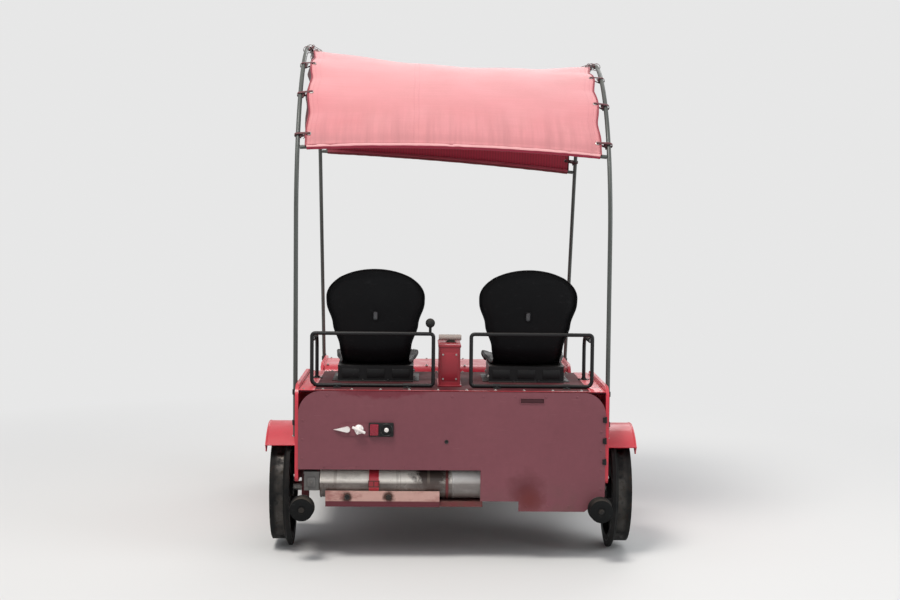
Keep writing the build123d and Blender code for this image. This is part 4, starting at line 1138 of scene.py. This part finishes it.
# %% [markdown]
# Platform pedals have a barrel on the pin, two rubber blocks with ribs that grip a sole, a thin plate at
# each end and a reflector on each long side. They are all alike, so one function makes them, and each rides
# on its own pedal body, which turns on its crank.

# %% Pedals
CRANK_REACH, CRANK_RISE = 0.14289, 0.0825
PEDAL_HALF_LENGTH, PEDAL_HALF_HEIGHT = 0.044, 0.011


def pedal(name, side, end):
    """Makes one pedal on its pin."""
    middle = Vector((side * CRANK_X + end * 0.126, CRANK_Y + end * CRANK_REACH, CRANK_Z + end * CRANK_RISE))
    bm = bmesh.new()
    for way in (-1, 1):
        near, far = sorted((way * 0.015, way * (PEDAL_HALF_LENGTH - 0.003)))
        block(bm, middle + Vector((-0.042, near, -0.0085)), middle + Vector((0.042, far, 0.0085)), 0.002)
        for i in range(7):
            x = -0.036 + i * 0.012
            block(bm, middle + Vector((x - 0.0026, near, -PEDAL_HALF_HEIGHT)),
                  middle + Vector((x + 0.0026, far, PEDAL_HALF_HEIGHT)), 0.0012)
        slab(bm, middle + Vector((way * 0.0445, 0, 0)), (0.0015, PEDAL_HALF_LENGTH - 0.002, 0.0095), 0.001)
    bar(bm, middle + Vector((-0.044, 0, 0)), middle + Vector((0.044, 0, 0)), 0.0105, segments=20)
    rubber = piece(bm, name + "_blocks", pedal_plastic, body=name)
    bm = bmesh.new()
    for way in (-1, 1):
        y = way * (PEDAL_HALF_LENGTH - 0.0015)
        block(bm, middle + Vector((-0.028, min(y, y - way * 0.004), -0.0065)),
              middle + Vector((0.028, max(y, y - way * 0.004), 0.0065)), 0.0015)
    piece(bm, name + "_reflectors", reflector_red, body=name)
    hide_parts(name)


for name, side, end in (("pedal_left_outer", -1, -1), ("pedal_left_inner", -1, 1),
                        ("pedal_right_inner", 1, -1), ("pedal_right_outer", 1, 1)):
    pedal(name, side, end)

# %% [markdown]
# The wheels are iron castings: radial ribs carry the load from hub to rim, a cap closes the hub, and bolts
# hold the cap's flange. One tapered rib is made and copied round the axle. These pieces ride on the axle's
# body, so that they turn with it.

# %% Wheel castings
WHEEL_FACE, WEB_FACE, HUB_R, RIM_R, RIBS = 0.768, 0.718, 0.046, 0.206, 8


def around(bm, made, count, middle, axis):
    """Copies some geometry evenly round an axis through middle."""
    faces = list({f for v in made for f in v.link_faces})
    for i in range(1, count):
        copy = bmesh.ops.duplicate(bm, geom=faces)["geom"]
        verts = list({v for v in copy if isinstance(v, bmesh.types.BMVert)})
        bmesh.ops.rotate(bm, verts=verts, cent=middle, matrix=Matrix.Rotation(math.tau * i / count, 3, axis))


for end, axle_y, finish in (("rear", REAR_AXLE, rear_wheel_black), ("front", FRONT_AXLE, front_wheel_black)):
    cast, caps = bmesh.new(), bmesh.new()
    for side in (-1, 1):
        middle = Vector((0, axle_y, AXLE_Z))
        rib = bmesh.ops.create_cube(cast, size=1.0)["verts"]
        for v in rib:
            outer = v.co.z > 0
            reach = RIM_R if outer else HUB_R - 0.003
            depth = (0.014 if outer else 0.040) if v.co.x > 0 else -0.002
            width = 0.006 if outer else 0.008
            v.co = Vector((side * (WEB_FACE + depth), axle_y + math.copysign(width, v.co.y), AXLE_Z + reach))
        around(cast, rib, RIBS, middle, "X")
        at_face = Vector((side * WHEEL_FACE, axle_y, AXLE_Z))
        out = Vector((side, 0, 0))
        turned(cast, [(-0.006, 0.2245), (0.0, 0.2285), (0.0015, 0.2265), (0.0015, 0.2100), (0.0, 0.2065),
                      (-0.006, 0.2055)], at_face, out, 64)
        turned(caps, [(-0.004, 0.0300), (0.004, 0.0300), (0.006, 0.0285), (0.0065, 0.0240), (0.011, 0.0225),
                      (0.014, 0.0180), (0.0155, 0.0090), (0.016, 0.0)], at_face, out, 40)
        for i in range(6):
            angle = math.tau * i / 6
            spoke = Vector((0, math.cos(angle), math.sin(angle)))
            bolt(caps, at_face + spoke * 0.0375, out, 0.0052, washer=False)
    piece(cast, end + "_wheel_ribs", finish, body=end + "_axle")
    piece(caps, end + "_hub_caps", bolt_steel, body=end + "_axle")

# %% [markdown]
# The axle boxes are bolted up under the rails, with a round seal cap where the shaft comes out. The buffers
# are rubber pucks on a steel plate, each held by one sunken bolt.

# %% Axle boxes and buffers
bm = bmesh.new()
for axle_y in (REAR_AXLE, FRONT_AXLE):
    for x in (-0.45, 0.45):
        for way in (-1, 1):
            face = Vector((x + way * 0.030, axle_y, AXLE_Z))
            out = Vector((way, 0, 0))
            turned(bm, [(0.0, 0.0360), (0.004, 0.0360), (0.006, 0.0340), (0.007, 0.0250), (0.0, 0.0235)],
                   face, out, 32)
            for dy in (-0.038, 0.038):
                for z in (0.228, 0.312):
                    bolt(bm, (face.x, axle_y + dy, z), out, 0.0062)
piece(bm, "axle_box_bolts", bolt_steel)

bm, rubber = bmesh.new(), bmesh.new()
for end in (-1, 1):
    for side in (-1, 1):
        out = Vector((0, end, 0))
        seat = Vector((side * 0.620, end * 1.130, 0.227))
        turned(bm, [(0.0, 0.0), (0.0, 0.0505), (0.004, 0.0515), (0.0055, 0.0500), (0.0055, 0.0440)],
               seat, out, 48)
        face = seat + out * 0.070
        turned(rubber, [(-0.016, 0.0478), (-0.006, 0.0482), (-0.001, 0.0455), (0.0015, 0.0400),
                        (0.0015, 0.0180), (-0.0005, 0.0150)], face, out, 48)
        turned(rubber, [(-0.052, 0.0472), (-0.049, 0.0490), (-0.044, 0.0490), (-0.041, 0.0472)],
               face, out, 48)
        bolt(bm, face - out * 0.001, out, 0.0085)
piece(bm, "buffer_plates", black_paint)
piece(rubber, "buffer_rings", buffer_rubber)

# %% [markdown]
# A fender is rolled sheet. A bead runs along its two outer edges, because a raw edge would cut and would
# flutter, and two flat stays under it carry it from the body. Bolts go through its inner edge into the
# side.

# %% Fender beads and stays
FENDER_FROM, FENDER_SWEEP = 32, 101


def on_fender(axle_y, x, radius, degrees):
    """A point over a wheel: x from the car's middle, a radius and an angle from straight ahead."""
    angle = math.radians(degrees)
    return Vector((x, axle_y + radius * math.cos(angle), AXLE_Z + radius * math.sin(angle)))


bm, fixings = bmesh.new(), bmesh.new()
for axle_y in (REAR_AXLE, FRONT_AXLE):
    for side in (-1, 1):
        for x, radius, bead in ((0.7855, 0.2805, 0.0052), (0.7880, 0.2415, 0.0034)):
            sleeve(bm, [on_fender(axle_y, side * x, radius, FENDER_FROM + FENDER_SWEEP * i / 48)
                        for i in range(49)], bead, 10)
        for degrees in (32.6, 132.4):
            bar(bm, on_fender(axle_y, side * 0.656, 0.282, degrees),
                on_fender(axle_y, side * 0.787, 0.282, degrees), 0.0042, segments=12)
        for degrees in (55, 112):
            along_arc = Matrix.Rotation(math.radians(degrees - 90), 4, "X")
            stay = on_fender(axle_y, side * 0.720, 0.2772, degrees)
            slab(bm, stay, (0.064, 0.011, 0.0018), 0.001, along_arc)
        for degrees in (44, 70, 98, 122):
            out = on_fender(axle_y, 0.0, 1.0, degrees) - on_fender(axle_y, 0.0, 0.0, degrees)
            bolt(fixings, on_fender(axle_y, side * 0.670, 0.2842, degrees), out, 0.0058)
piece(bm, "fender_beads", red_paint)
piece(fixings, "fender_bolts", bolt_steel)

# %% [markdown]
# Hardware on the rear panel: flush rivets round its edge, a letter-box slot with a raised rim near the top
# right, one drain grommet, three hinge tabs on the right, and, on the left, a twist latch beside a
# reflector. The latch is plain and generic: a pointed keeper, a T-shaped handle on a boss and a keyhole.

# %% Rivets, slot and hinges
PANEL_Y = -1.130
bm = bmesh.new()
rivet_places = [(x * 0.13, 0.694) for x in range(-4, 5)]
rivet_places += [(-0.622, z) for z in (0.43, 0.51, 0.59)]
rivet_places += [(0.622, z) for z in (0.31, 0.39, 0.47, 0.55)]
rivet_places += [(x, 0.236) for x in (0.31, 0.40, 0.49)]
rivet_places += [(x, 0.398) for x in (-0.53, -0.40, -0.20, -0.05, 0.08)]
for x, z in rivet_places:
    bar(bm, (x, PANEL_Y + 0.001, z), (x, PANEL_Y - 0.0016, z), 0.0058, 0.0038, 14)
for z in (0.6660, 0.6885):
    block(bm, (0.281, PANEL_Y - 0.0026, z - 0.0015), (0.384, PANEL_Y + 0.001, z + 0.0015), 0.0010)
for x in (0.281, 0.381):
    block(bm, (x, PANEL_Y - 0.0026, 0.6645), (x + 0.003, PANEL_Y + 0.001, 0.6900), 0.0010)
piece(bm, "panel_rivets", maroon_paint)

bm = bmesh.new()
block(bm, (0.283, PANEL_Y - 0.0012, 0.6665), (0.382, PANEL_Y + 0.002, 0.6880), 0.0003)
piece(bm, "panel_slot", slot_shade)

bm = bmesh.new()
for z in (0.600, 0.512, 0.424):
    block(bm, (0.628, PANEL_Y - 0.0050, z - 0.011), (0.643, PANEL_Y + 0.002, z + 0.011), 0.0015)
    bar(bm, (0.6405, PANEL_Y - 0.0030, z - 0.013), (0.6405, PANEL_Y - 0.0030, z + 0.013), 0.0042, segments=14)
piece(bm, "panel_hinges", black_paint)

# %% [markdown]
# The keeper starts as a short round bar, and the half of it that looks left is stretched and pinched to a
# point. Handle and boss are turned and blocked out of the same pale metal.

# %% Latch, reflector and lock
bm, dark = bmesh.new(), bmesh.new()
turned(dark, [(0.0, 0.0085), (0.0022, 0.0080), (0.0026, 0.0060), (0.0010, 0.0040), (0.0010, 0.0)],
       (-0.023, PANEL_Y, 0.504), (0, -1, 0), 24)
LATCH_Y = PANEL_Y - 0.004
KEEPER_X, KEEPER_Z, POINT_FROM = -0.436, 0.553, -0.4365
keeper = bar(bm, (KEEPER_X, LATCH_Y + 0.001, KEEPER_Z), (KEEPER_X, LATCH_Y - 0.006, KEEPER_Z),
             0.0135, 0.0115, 32)
for v in keeper:
    if v.co.x < POINT_FROM:
        v.co.z = KEEPER_Z + (v.co.z - KEEPER_Z) * (1 + (v.co.x - POINT_FROM) / 0.016)
        v.co.x += (v.co.x - POINT_FROM) * 3.4
turned(bm, [(0.0, 0.0200), (0.006, 0.0185), (0.008, 0.0150), (0.014, 0.0130), (0.016, 0.0110), (0.0165, 0.0)],
       (-0.387, LATCH_Y, 0.555), (0, -1, 0), 32)
tilt = Matrix.Rotation(math.radians(24), 4, "Y")
block(bm, (-0.417, LATCH_Y - 0.024, 0.5480), (-0.357, LATCH_Y - 0.014, 0.5600), 0.004, tilt)
block(bm, (-0.3930, LATCH_Y - 0.021, 0.5340), (-0.3810, LATCH_Y - 0.013, 0.5740), 0.004, tilt)
piece(bm, "twist_latch", pale_metal)

block(dark, (-0.3465, PANEL_Y - 0.0120, 0.5245), (-0.2430, PANEL_Y + 0.001, 0.5830), 0.004)
turned(dark, [(0.0, 0.0265), (0.004, 0.0265), (0.006, 0.0245), (0.004, 0.0220)],
       (-0.273, PANEL_Y - 0.012, 0.554), (0, -1, 0), 40)
piece(dark, "reflector_housing", black_paint)
bm, lock = bmesh.new(), bmesh.new()
block(bm, (-0.3420, PANEL_Y - 0.0165, 0.5300), (-0.3060, PANEL_Y - 0.010, 0.5775), 0.003)
piece(bm, "reflector_lens", reflector_red)
# The lock barrel is a real lock part, and its pale face is also a painted highlight on the dark dome.
turned(lock, [(0.0, 0.0095), (0.0050, 0.0090), (0.0065, 0.0075), (0.0065, 0.0)],
       (-0.273, PANEL_Y - 0.0160, 0.554), (0, -1, 0), 32)
block(lock, (-0.2745, PANEL_Y - 0.0245, 0.5470), (-0.2715, PANEL_Y - 0.0220, 0.5610), 0.0008)
piece(lock, "lock_barrel", pale_metal)

# %% [markdown]
# The stowed tube is two lengths: a long cream one and a short grey can pushed over its right end, with
# rolled rims like a paint tin's. Rims are rings, so they are turned.

# %% Stowed tube and can
TUBE = Vector((0, -1.050, 0.316))
bm = bmesh.new()
turned(bm, [(0.000, 0.0602), (0.000, 0.0622), (0.003, 0.0632), (0.006, 0.0622), (0.007, 0.0612),
            (0.110, 0.0612), (0.112, 0.0622), (0.116, 0.0634), (0.120, 0.0626), (0.1205, 0.0600),
            (0.116, 0.0585), (0.114, 0.0560), (0.114, 0.0200), (0.1155, 0.0180), (0.1155, 0.0)],
       TUBE + Vector((0.002, 0, 0)), (1, 0, 0), 56)
piece(bm, "grey_can", can_paint)
bm = bmesh.new()
for x, rim in ((-0.551, [(0.000, 0.0600), (0.001, 0.0618), (0.004, 0.0622), (0.007, 0.0606)]),
               (-0.140, [(0.000, 0.0604), (0.001, 0.0614), (0.005, 0.0614), (0.006, 0.0604)])):
    turned(bm, rim, TUBE + Vector((x, 0, 0)), (1, 0, 0), 56)
piece(bm, "tube_rims", worn_tube)

# %% [markdown]
# A red strap and a narrow clip hold the tube. The strap's sewn edges are thin cords that follow its arc, and
# the buckle is five small bars. Buckle and clip are a darker red.

# %% Strap edges, clip ring and buckle
bm = bmesh.new()
for x in (-0.3425, -0.3085):
    angles = [math.radians(a) for a in range(80, 285, 6)]
    arc = [TUBE + Vector((x, 0.0642 * math.cos(a), 0.0642 * math.sin(a))) for a in angles]
    sleeve(bm, arc, 0.0012, 6, 0.3)
piece(bm, "strap_edges", red_paint)

bm = bmesh.new()
turned(bm, [(0.000, 0.0602), (0.001, 0.0636), (0.011, 0.0636), (0.012, 0.0602)],
       TUBE + Vector((-0.025, 0, 0)), (1, 0, 0), 56)
block(bm, (-0.0250, -1.1180, 0.286), (-0.0130, -1.1085, 0.347), 0.002)
for low, high in (((-0.3485, 0.3325), (-0.3005, 0.3375)), ((-0.3485, 0.3085), (-0.3005, 0.3135)),
                  ((-0.3485, 0.3085), (-0.3435, 0.3375)), ((-0.3055, 0.3085), (-0.3005, 0.3375)),
                  ((-0.3265, 0.3085), (-0.3225, 0.3375))):
    block(bm, (low[0], -1.1205, low[1]), (high[0], -1.1160, high[1]), 0.0012)
piece(bm, "strap_buckle", frame_paint)

# %% [markdown]
# Large hexagon bolts hold the tow bars at both ends of the car. The grey box beside the tube gets a lid, and
# a hasp with its bolt, so that it doesn't look like a bare block.

# %% Tow bolts and the grey box
bm = bmesh.new()
for x in TOW_HOLES:
    bolt(bm, (x, -1.121, TOW_Z), (0, -1, 0), 0.0120)
for x in (-0.070, 0.070):
    bolt(bm, (x, 0.994, TOW_Z), (0, 1, 0), 0.0120)
piece(bm, "tow_bolts", black_paint)

bm = bmesh.new()
block(bm, (-0.6185, -1.1075, 0.3600), (-0.5515, -0.9850, 0.3725), 0.002)
block(bm, (-0.6020, -1.1105, 0.3080), (-0.5680, -1.1045, 0.3480), 0.0015)
bolt(bm, (-0.5850, -1.1100, 0.3280), (0, -1, 0), 0.0062)
piece(bm, "grey_box_lid", grey_paint)

# %% [markdown]
# Each hoop is clamped to the body at both feet. A clamp is a band round the tube with an ear on each side,
# bolted through the side panel. The tube stands against the panel, so the band's inner part goes into it.

# %% Hoop clamps
bm, fixings = bmesh.new(), bmesh.new()
SIDE_FACE = 0.654
front_foot = Vector((0, *FRONT_FOOT))
raked = (Vector((0, 0.604, 1.640)) - front_foot).normalized()
for side in (-1, 1):
    for foot, way, heights in ((Vector((0, REAR_POST_Y, 0)), Vector((0, 0, 1)), (0.560, 0.690)),
                               (front_foot, raked, (0.585, 0.635))):
        for height in heights:
            middle = foot + way * ((height - foot.z) / way.z)
            middle.x = side * HOOP_X
            turned(bm, [(-0.011, 0.0092), (-0.011, 0.0122), (-0.009, 0.0128), (0.009, 0.0128),
                        (0.011, 0.0122), (0.011, 0.0092)], middle, way, 32)
            across = way.cross(Vector((1, 0, 0))).normalized()
            lie = Matrix.Rotation(-math.atan2(way.y, way.z), 4, "X")
            for ear in (-1, 1):
                spot_here = middle + across * ear * 0.023
                spot_here.x = side * (SIDE_FACE + 0.0015)
                slab(bm, spot_here, (0.0018, 0.013, 0.011), 0.001, lie)
                bolt(fixings, spot_here + Vector((side * 0.0015, 0, 0)), (side, 0, 0), 0.0056)
piece(bm, "hoop_clamps", black_paint)
piece(fixings, "hoop_clamp_bolts", bolt_steel)

# %% [markdown]
# The guards lie on the deck under black clips, whose paint has worn at the edges, and their arm rests end
# in round foot plates. A rubber sleeve makes each arm rest kinder to a forearm.

# %% Guard clips and feet
DECK = 0.715
bm, pads = bmesh.new(), bmesh.new()
for side in (-1, 1):
    for x in (0.190, 0.485):
        middle = Vector((side * x, -1.000, DECK + 0.008))
        turned(bm, [(-0.016, 0.0078), (-0.016, 0.0104), (0.016, 0.0104), (0.016, 0.0078)],
               middle, (1, 0, 0), 28)
        for ear in (-1, 1):
            slab(bm, middle + Vector((0, ear * 0.021, -0.0065)), (0.016, 0.012, 0.0015), 0.001)
            bolt(bm, middle + Vector((0, ear * 0.023, -0.0050)), (0, 0, 1), 0.0052)
    foot = Vector((side * 0.593, -0.670, DECK))
    turned(bm, [(0.0, 0.0260), (0.003, 0.0260), (0.004, 0.0250), (0.004, 0.0120), (0.010, 0.0105),
                (0.010, 0.0078)], foot, (0, 0, 1), 32)
    for i in range(3):
        angle = math.tau * (i + 0.5) / 3
        spoke = Vector((0.0200 * math.cos(angle), 0.0200 * math.sin(angle), 0.0038))
        bolt(bm, foot + spoke, (0, 0, 1), 0.0034, washer=False)
    ribs = [(0.010 + i * 0.006, 0.0122 - 0.0012 * (i % 2)) for i in range(27)]
    turned(pads, [(0.0, 0.0078), (0.001, 0.0114), (0.004, 0.0122), *ribs, (0.176, 0.0114), (0.177, 0.0078)],
           Vector((side * 0.593, -0.925, 0.915)), (0, 1, 0), 24)
piece(bm, "guard_clips", black_paint)
piece(pads, "arm_pads", buffer_rubber)

# %% [markdown]
# The console is a folded red box. It gets an overhanging lid, an angle strip round its foot, corner screws
# on its rear face, a rubber bellows where the brake's T-shaped pull comes up, and a ribbed grip on it.

# %% Console and brake pull
bm = bmesh.new()
block(bm, (-0.0590, -0.9630, 0.8815), (0.0390, -0.6970, 0.8935), 0.004)
block(bm, (-0.0450, -0.9620, 0.7400), (0.0250, -0.9590, 0.8600), 0.0015)
piece(bm, "console_lid", console_paint)
bm = bmesh.new()
block(bm, (-0.0610, -0.9650, 0.7152), (0.0410, -0.6950, 0.7215), 0.0012)
piece(bm, "console_foot_strip", console_paint)
bm = bmesh.new()
for x in (-0.038, 0.018):
    for z in (0.748, 0.852):
        bar(bm, (x, -0.9615, z), (x, -0.9640, z), 0.0044, 0.0034, 16)
piece(bm, "console_screws", bolt_steel)
bm = bmesh.new()
PULL = Vector((-0.003, -0.830, 0.8935))
turned(bm, [(0.0, 0.0), (0.0, 0.0250), (0.002, 0.0240), (0.004, 0.0170), (0.006, 0.0190), (0.008, 0.0120),
            (0.010, 0.0135), (0.012, 0.0076)], PULL, (0, 0, 1), 32)
piece(bm, "pull_bellows", buffer_rubber)
bm = bmesh.new()
rings = [(-0.046 + i * 0.004, 0.0138 - 0.0012 * (i % 2)) for i in range(24)]
turned(bm, [(-0.049, 0.0), (-0.049, 0.0100), *rings, (0.049, 0.0100), (0.049, 0.0)],
       (-0.0065, PULL.y, 0.914), (1, 0, 0), 28)
piece(bm, "pull_grip", grip_plastic)

# %% [markdown]
# Bolts hold the deck, the sides and the cowl. They are set out in rows at an even pitch, as a fitter would
# drill them. All are one mesh: the same bolt again and again.

# %% Body bolts
BASE_HALF = 0.165
bm = bmesh.new()
for side in (-1, 1):
    out = Vector((side, 0, 0))
    for y in (-1.09, -0.45, -0.28, -0.10, 0.07, 0.25, 0.40, 1.08):
        bolt(bm, (side * SIDE_FACE, y, 0.352), out, 0.0062)
    for y in (-1.06, -0.84, -0.62, -0.46):
        bolt(bm, (side * SIDE_FACE, y, 0.700), out, 0.0054)
    for y, z in ((0.62, 0.625), (0.74, 0.632), (0.90, 0.632), (1.04, 0.585), (0.545, 0.560)):
        bolt(bm, (side * SIDE_FACE, y, z), out, 0.0054)
    for x in (0.06, 0.18, 0.30, 0.42, 0.54, 0.62):
        bolt(bm, (side * x, -1.095, DECK), (0, 0, 1), 0.0050)
        bolt(bm, (side * x, -0.400, DECK), (0, 0, 1), 0.0050)
    for x in (0.10, 0.24, 0.38, 0.52, 0.62):
        bolt(bm, (side * x, 0.6100, 0.6402), (0, 0, 1), 0.0050)
        bolt(bm, (side * x, 0.9500, 0.6402), (0, 0, 1), 0.0050)
    for y in (-0.745, -0.505):
        for way in (1, -1):
            bolt(bm, (side * SEAT_X + way * side * BASE_HALF, y, 0.735), out * way, 0.0056)
piece(bm, "body_bolts", bolt_steel)

# %% [markdown]
# The deck's sides are turned over outwards into bright red flanges, and a strip closes its rear edge. Under
# each seat the base has feet along its sides, a rear foot, and three pressed panels across its back.

# %% Deck flanges and seat base trim
bm = bmesh.new()
for side in (-1, 1):
    near, far = sorted((side * 0.574, side * 0.6395))
    block(bm, (near, -1.1275, DECK), (far, -0.384, DECK + 0.0022), 0.0008)
piece(bm, "deck_flanges", red_paint)
bm = bmesh.new()
block(bm, (-0.574, -1.1275, DECK), (0.574, -1.1065, DECK + 0.0022), 0.0008)
piece(bm, "deck_edge_strip", console_paint)

bm = bmesh.new()
for side in (-1, 1):
    for edge_x in (-1, 1):
        near, far = sorted((side * SEAT_X + edge_x * BASE_HALF, side * SEAT_X + edge_x * 0.190))
        block(bm, (near, -0.768, DECK), (far, -0.482, DECK + 0.0035), 0.001)
    block(bm, (side * SEAT_X - BASE_HALF, -0.795, DECK),
          (side * SEAT_X + BASE_HALF, -0.770, DECK + 0.0035), 0.001)
    for dx in (-0.11, 0.0, 0.11):
        x = side * SEAT_X + dx
        block(bm, (x - 0.038, -0.7735, 0.730), (x + 0.038, -0.769, 0.768), 0.004)
    for dx in (-0.055, 0.055):
        bolt(bm, (side * SEAT_X + dx, -0.783, DECK + 0.0035), (0, 0, 1), 0.0052)
piece(bm, "seat_base_trim", black_paint)

# %% [markdown]
# The floor is tread plate: rows of low lozenges, each turned a right angle from its neighbour. There are
# more than a thousand, so one lozenge has ten faces. None stands where a chain or a post comes through.

# %% Tread plate
FLOOR, LUG_PITCH = 0.394, 0.029
bm = bmesh.new()
lug = bmesh.ops.create_cone(
    bm, cap_ends=True, segments=8, radius1=0.0105, radius2=0.0070, depth=0.0016)["verts"]
for v in lug:
    v.co.y *= 0.30
lug_mesh = as_mesh(bm, "lug")
bm = bmesh.new()
count = 0
for i in range(-21, 22):
    for j in range(29):
        x, y = i * LUG_PITCH, -0.362 + j * LUG_PITCH
        by_post = abs(abs(x) - CRANK_X) < 0.050 and abs(y - CRANK_Y) < 0.070
        if abs(abs(x) - CHAIN_X) < 0.030 or by_post:
            continue
        turn = Matrix.Rotation(math.radians(45 if (i + j) % 2 else -45), 4, "Z")
        stamp(bm, lug_mesh, Matrix.Translation((x, y, FLOOR + 0.0006)) @ turn)
        count += 1
bpy.data.meshes.remove(lug_mesh)
piece(bm, "tread_lugs", floor_steel)
print("lugs:", count)

# %% [markdown]
# The cranks carry their chainrings on five-armed spiders, with a bolt at each arm's end and a dust cap on
# each crank. Their posts stand on bolted foot plates.

# %% Crank spiders, caps and post feet
for name, side in (("crank_left", -1), ("crank_right", 1)):
    bm = bmesh.new()
    near, far = sorted((side * 0.2715, side * 0.2782))
    arm = bmesh.ops.create_cube(bm, size=1.0)["verts"]
    for v in arm:
        reach = 0.076 if v.co.z > 0 else 0.010
        width = 0.0055 if v.co.z > 0 else 0.0090
        v.co = Vector((far if v.co.x > 0 else near, CRANK_Y + math.copysign(width, v.co.y), CRANK_Z + reach))
    around(bm, arm, 5, Vector((0, CRANK_Y, CRANK_Z)), "X")
    for i in range(5):
        angle = math.radians(90) + math.tau * i / 5
        spoke = Vector((0, math.cos(angle), math.sin(angle)))
        bolt(bm, Vector((side * 0.2715, CRANK_Y, CRANK_Z)) + spoke * 0.070, (-side, 0, 0), 0.0042,
             washer=False)
    for end in (-1, 1):
        face = Vector((side * CRANK_X + end * 0.074, CRANK_Y, CRANK_Z))
        turned(bm, [(0.0, 0.0145), (0.002, 0.0140), (0.0045, 0.0105), (0.0050, 0.0)], face, (end, 0, 0), 28)
    piece(bm, name + "_spider", shaft_steel, body=name)
bm = bmesh.new()
for side in (-1, 1):
    slab(bm, (side * CRANK_X, CRANK_Y, FLOOR + 0.003), (0.030, 0.055, 0.003))
    for dx in (-0.020, 0.020):
        for dy in (-0.042, 0.042):
            bolt(bm, (side * CRANK_X + dx, CRANK_Y + dy, FLOOR + 0.006), (0, 0, 1), 0.0056)
piece(bm, "post_feet", black_paint)

# %% [markdown]
# The studio's floor is pale and runs up behind the car without a corner. Far from the car it fades into an
# even grey, so that no edge shows. That grey is for the eye only: it doesn't light the car.

# %% Floor
PALE = 0.80


def seen_directly(tree):
    """1 for what the camera sees, also in a reflection or through glass, and 0 for what lights the car."""
    path = add(tree, "ShaderNodeLightPath").outputs
    return figure(tree, "MAXIMUM", path["Is Camera Ray"],
                  figure(tree, "MAXIMUM", path["Is Glossy Ray"], path["Is Transmission Ray"]))


floor_finish, tree, shader = new_finish("floor_pale", (0.66, 0.655, 0.645), 0.8)
shader.inputs["Specular IOR Level"].default_value = 0.2
reach = add(tree, "ShaderNodeVectorMath", [(0, places(tree))], operation="LENGTH").outputs["Value"]
far_off = times(tree, spread(tree, reach, 1.6, 4.6), seen_directly(tree))
even = add(tree, "ShaderNodeEmission", [("Color", (PALE, PALE, PALE, 1))])
blend = add(tree, "ShaderNodeMixShader", [
    ("Fac", far_off), (1, shader.outputs["BSDF"]), (2, even.outputs[0])])
tree.links.new(blend.outputs["Shader"], tree.nodes["Material Output"].inputs["Surface"])
FLOOR_HALF, FLOOR_AHEAD, BEND_START, BEND_RADIUS = 14.0, 2.0, 9.0, 5.0
bm = bmesh.new()
bmesh.ops.create_grid(bm, x_segments=2, y_segments=60, size=FLOOR_HALF)
for v in bm.verts:
    v.co.y += FLOOR_AHEAD
    past = v.co.y - BEND_START
    if past > 0:
        angle = min(past / BEND_RADIUS, math.pi / 2)
        v.co.y = BEND_START + BEND_RADIUS * math.sin(angle)
        v.co.z = BEND_RADIUS * (1 - math.cos(angle)) + max(0.0, past - BEND_RADIUS * math.pi / 2)
for face in bm.faces:
    face.smooth = True
backdrop = in_scene("backdrop", as_mesh(bm, "backdrop"))
backdrop.data.materials.append(floor_finish)
backdrop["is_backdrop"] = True
print("floor:", 2 * FLOOR_HALF, "m square, faces:", len(backdrop.data.polygons))

# %% [markdown]
# The world gives an even fill from all sides. What the camera sees of it is the same grey as the far floor.

# %% World
world = bpy.data.worlds.new("studio")
bpy.context.scene.world = world
world.use_nodes = True
sky = world.node_tree
lit = add(sky, "ShaderNodeBackground", [("Color", (0.93, 0.96, 1.0, 1)), ("Strength", 0.55)])
shown = add(sky, "ShaderNodeBackground", [("Color", (PALE, PALE, PALE, 1)), ("Strength", 1.0)])
both = add(sky, "ShaderNodeMixShader", [
    ("Fac", seen_directly(sky)), (1, lit.outputs[0]), (2, shown.outputs[0])])
sky.links.new(both.outputs["Shader"], sky.nodes["World Output"].inputs["Surface"])
print("world:", world.name, "nodes:", len(sky.nodes))

# %% [markdown]
# The photograph was taken with the sun high, a little to the left and behind the camera, so the strongest
# lamp is there. All the lamps are large, so shadows stay soft.

# %% Lamps
def lamp(name, place, target, size, power, colour=(1, 1, 1)):
    """A square soft lamp that faces a target."""
    data = bpy.data.lights.new(name, "AREA")
    data.shape = "SQUARE"
    data.size = size
    data.energy = power
    data.color = colour
    made = in_scene(name, data)
    made.location = place
    made.rotation_euler = (Vector(target) - Vector(place)).to_track_quat("-Z", "Y").to_euler()


lamp("sun_side", (-2.1, -3.9, 7.4), (0, -0.3, 0.9), 2.4, 450, (1.0, 0.97, 0.93))
lamp("fill_right", (5.5, -3.0, 3.0), (0, 0, 0.9), 4.0, 150, (0.95, 0.98, 1.0))
lamp("from_ahead", (1.5, 5.5, 5.0), (0, 0.4, 0.9), 4.0, 170)

# %% [markdown]
# The camera stands where the photograph was taken from: seven and a half metres behind the car's middle, at
# eye height, turned a little to the right. A long lens fills the frame with the car.

# %% Camera
YAW, PITCH, ROLL = math.radians(-1.0917), math.radians(-3.6196), math.radians(0.5638)
ahead = Vector((-math.sin(YAW) * math.cos(PITCH), math.cos(YAW) * math.cos(PITCH), math.sin(PITCH)))
level = Vector((math.cos(YAW), math.sin(YAW), 0))
over = level.cross(ahead)
right = level * math.cos(ROLL) + over * math.sin(ROLL)
up = over * math.cos(ROLL) - level * math.sin(ROLL)
camera = in_scene("camera", bpy.data.cameras.new("camera"))
turn = Matrix((right, up, -ahead)).transposed().to_4x4()
camera.matrix_world = Matrix.Translation((-0.137, -7.569, 1.503)) @ turn
camera.data.sensor_width = 36.0
camera.data.lens = 62.4
bpy.context.scene.camera = camera
bpy.context.scene.view_settings.view_transform = "Standard"
print("camera at", [round(x, 3) for x in camera.location], "lens", camera.data.lens)

# %% [markdown]
# Last, the size of the dressed car is measured.

# %% Sizes and finish
low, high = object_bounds()
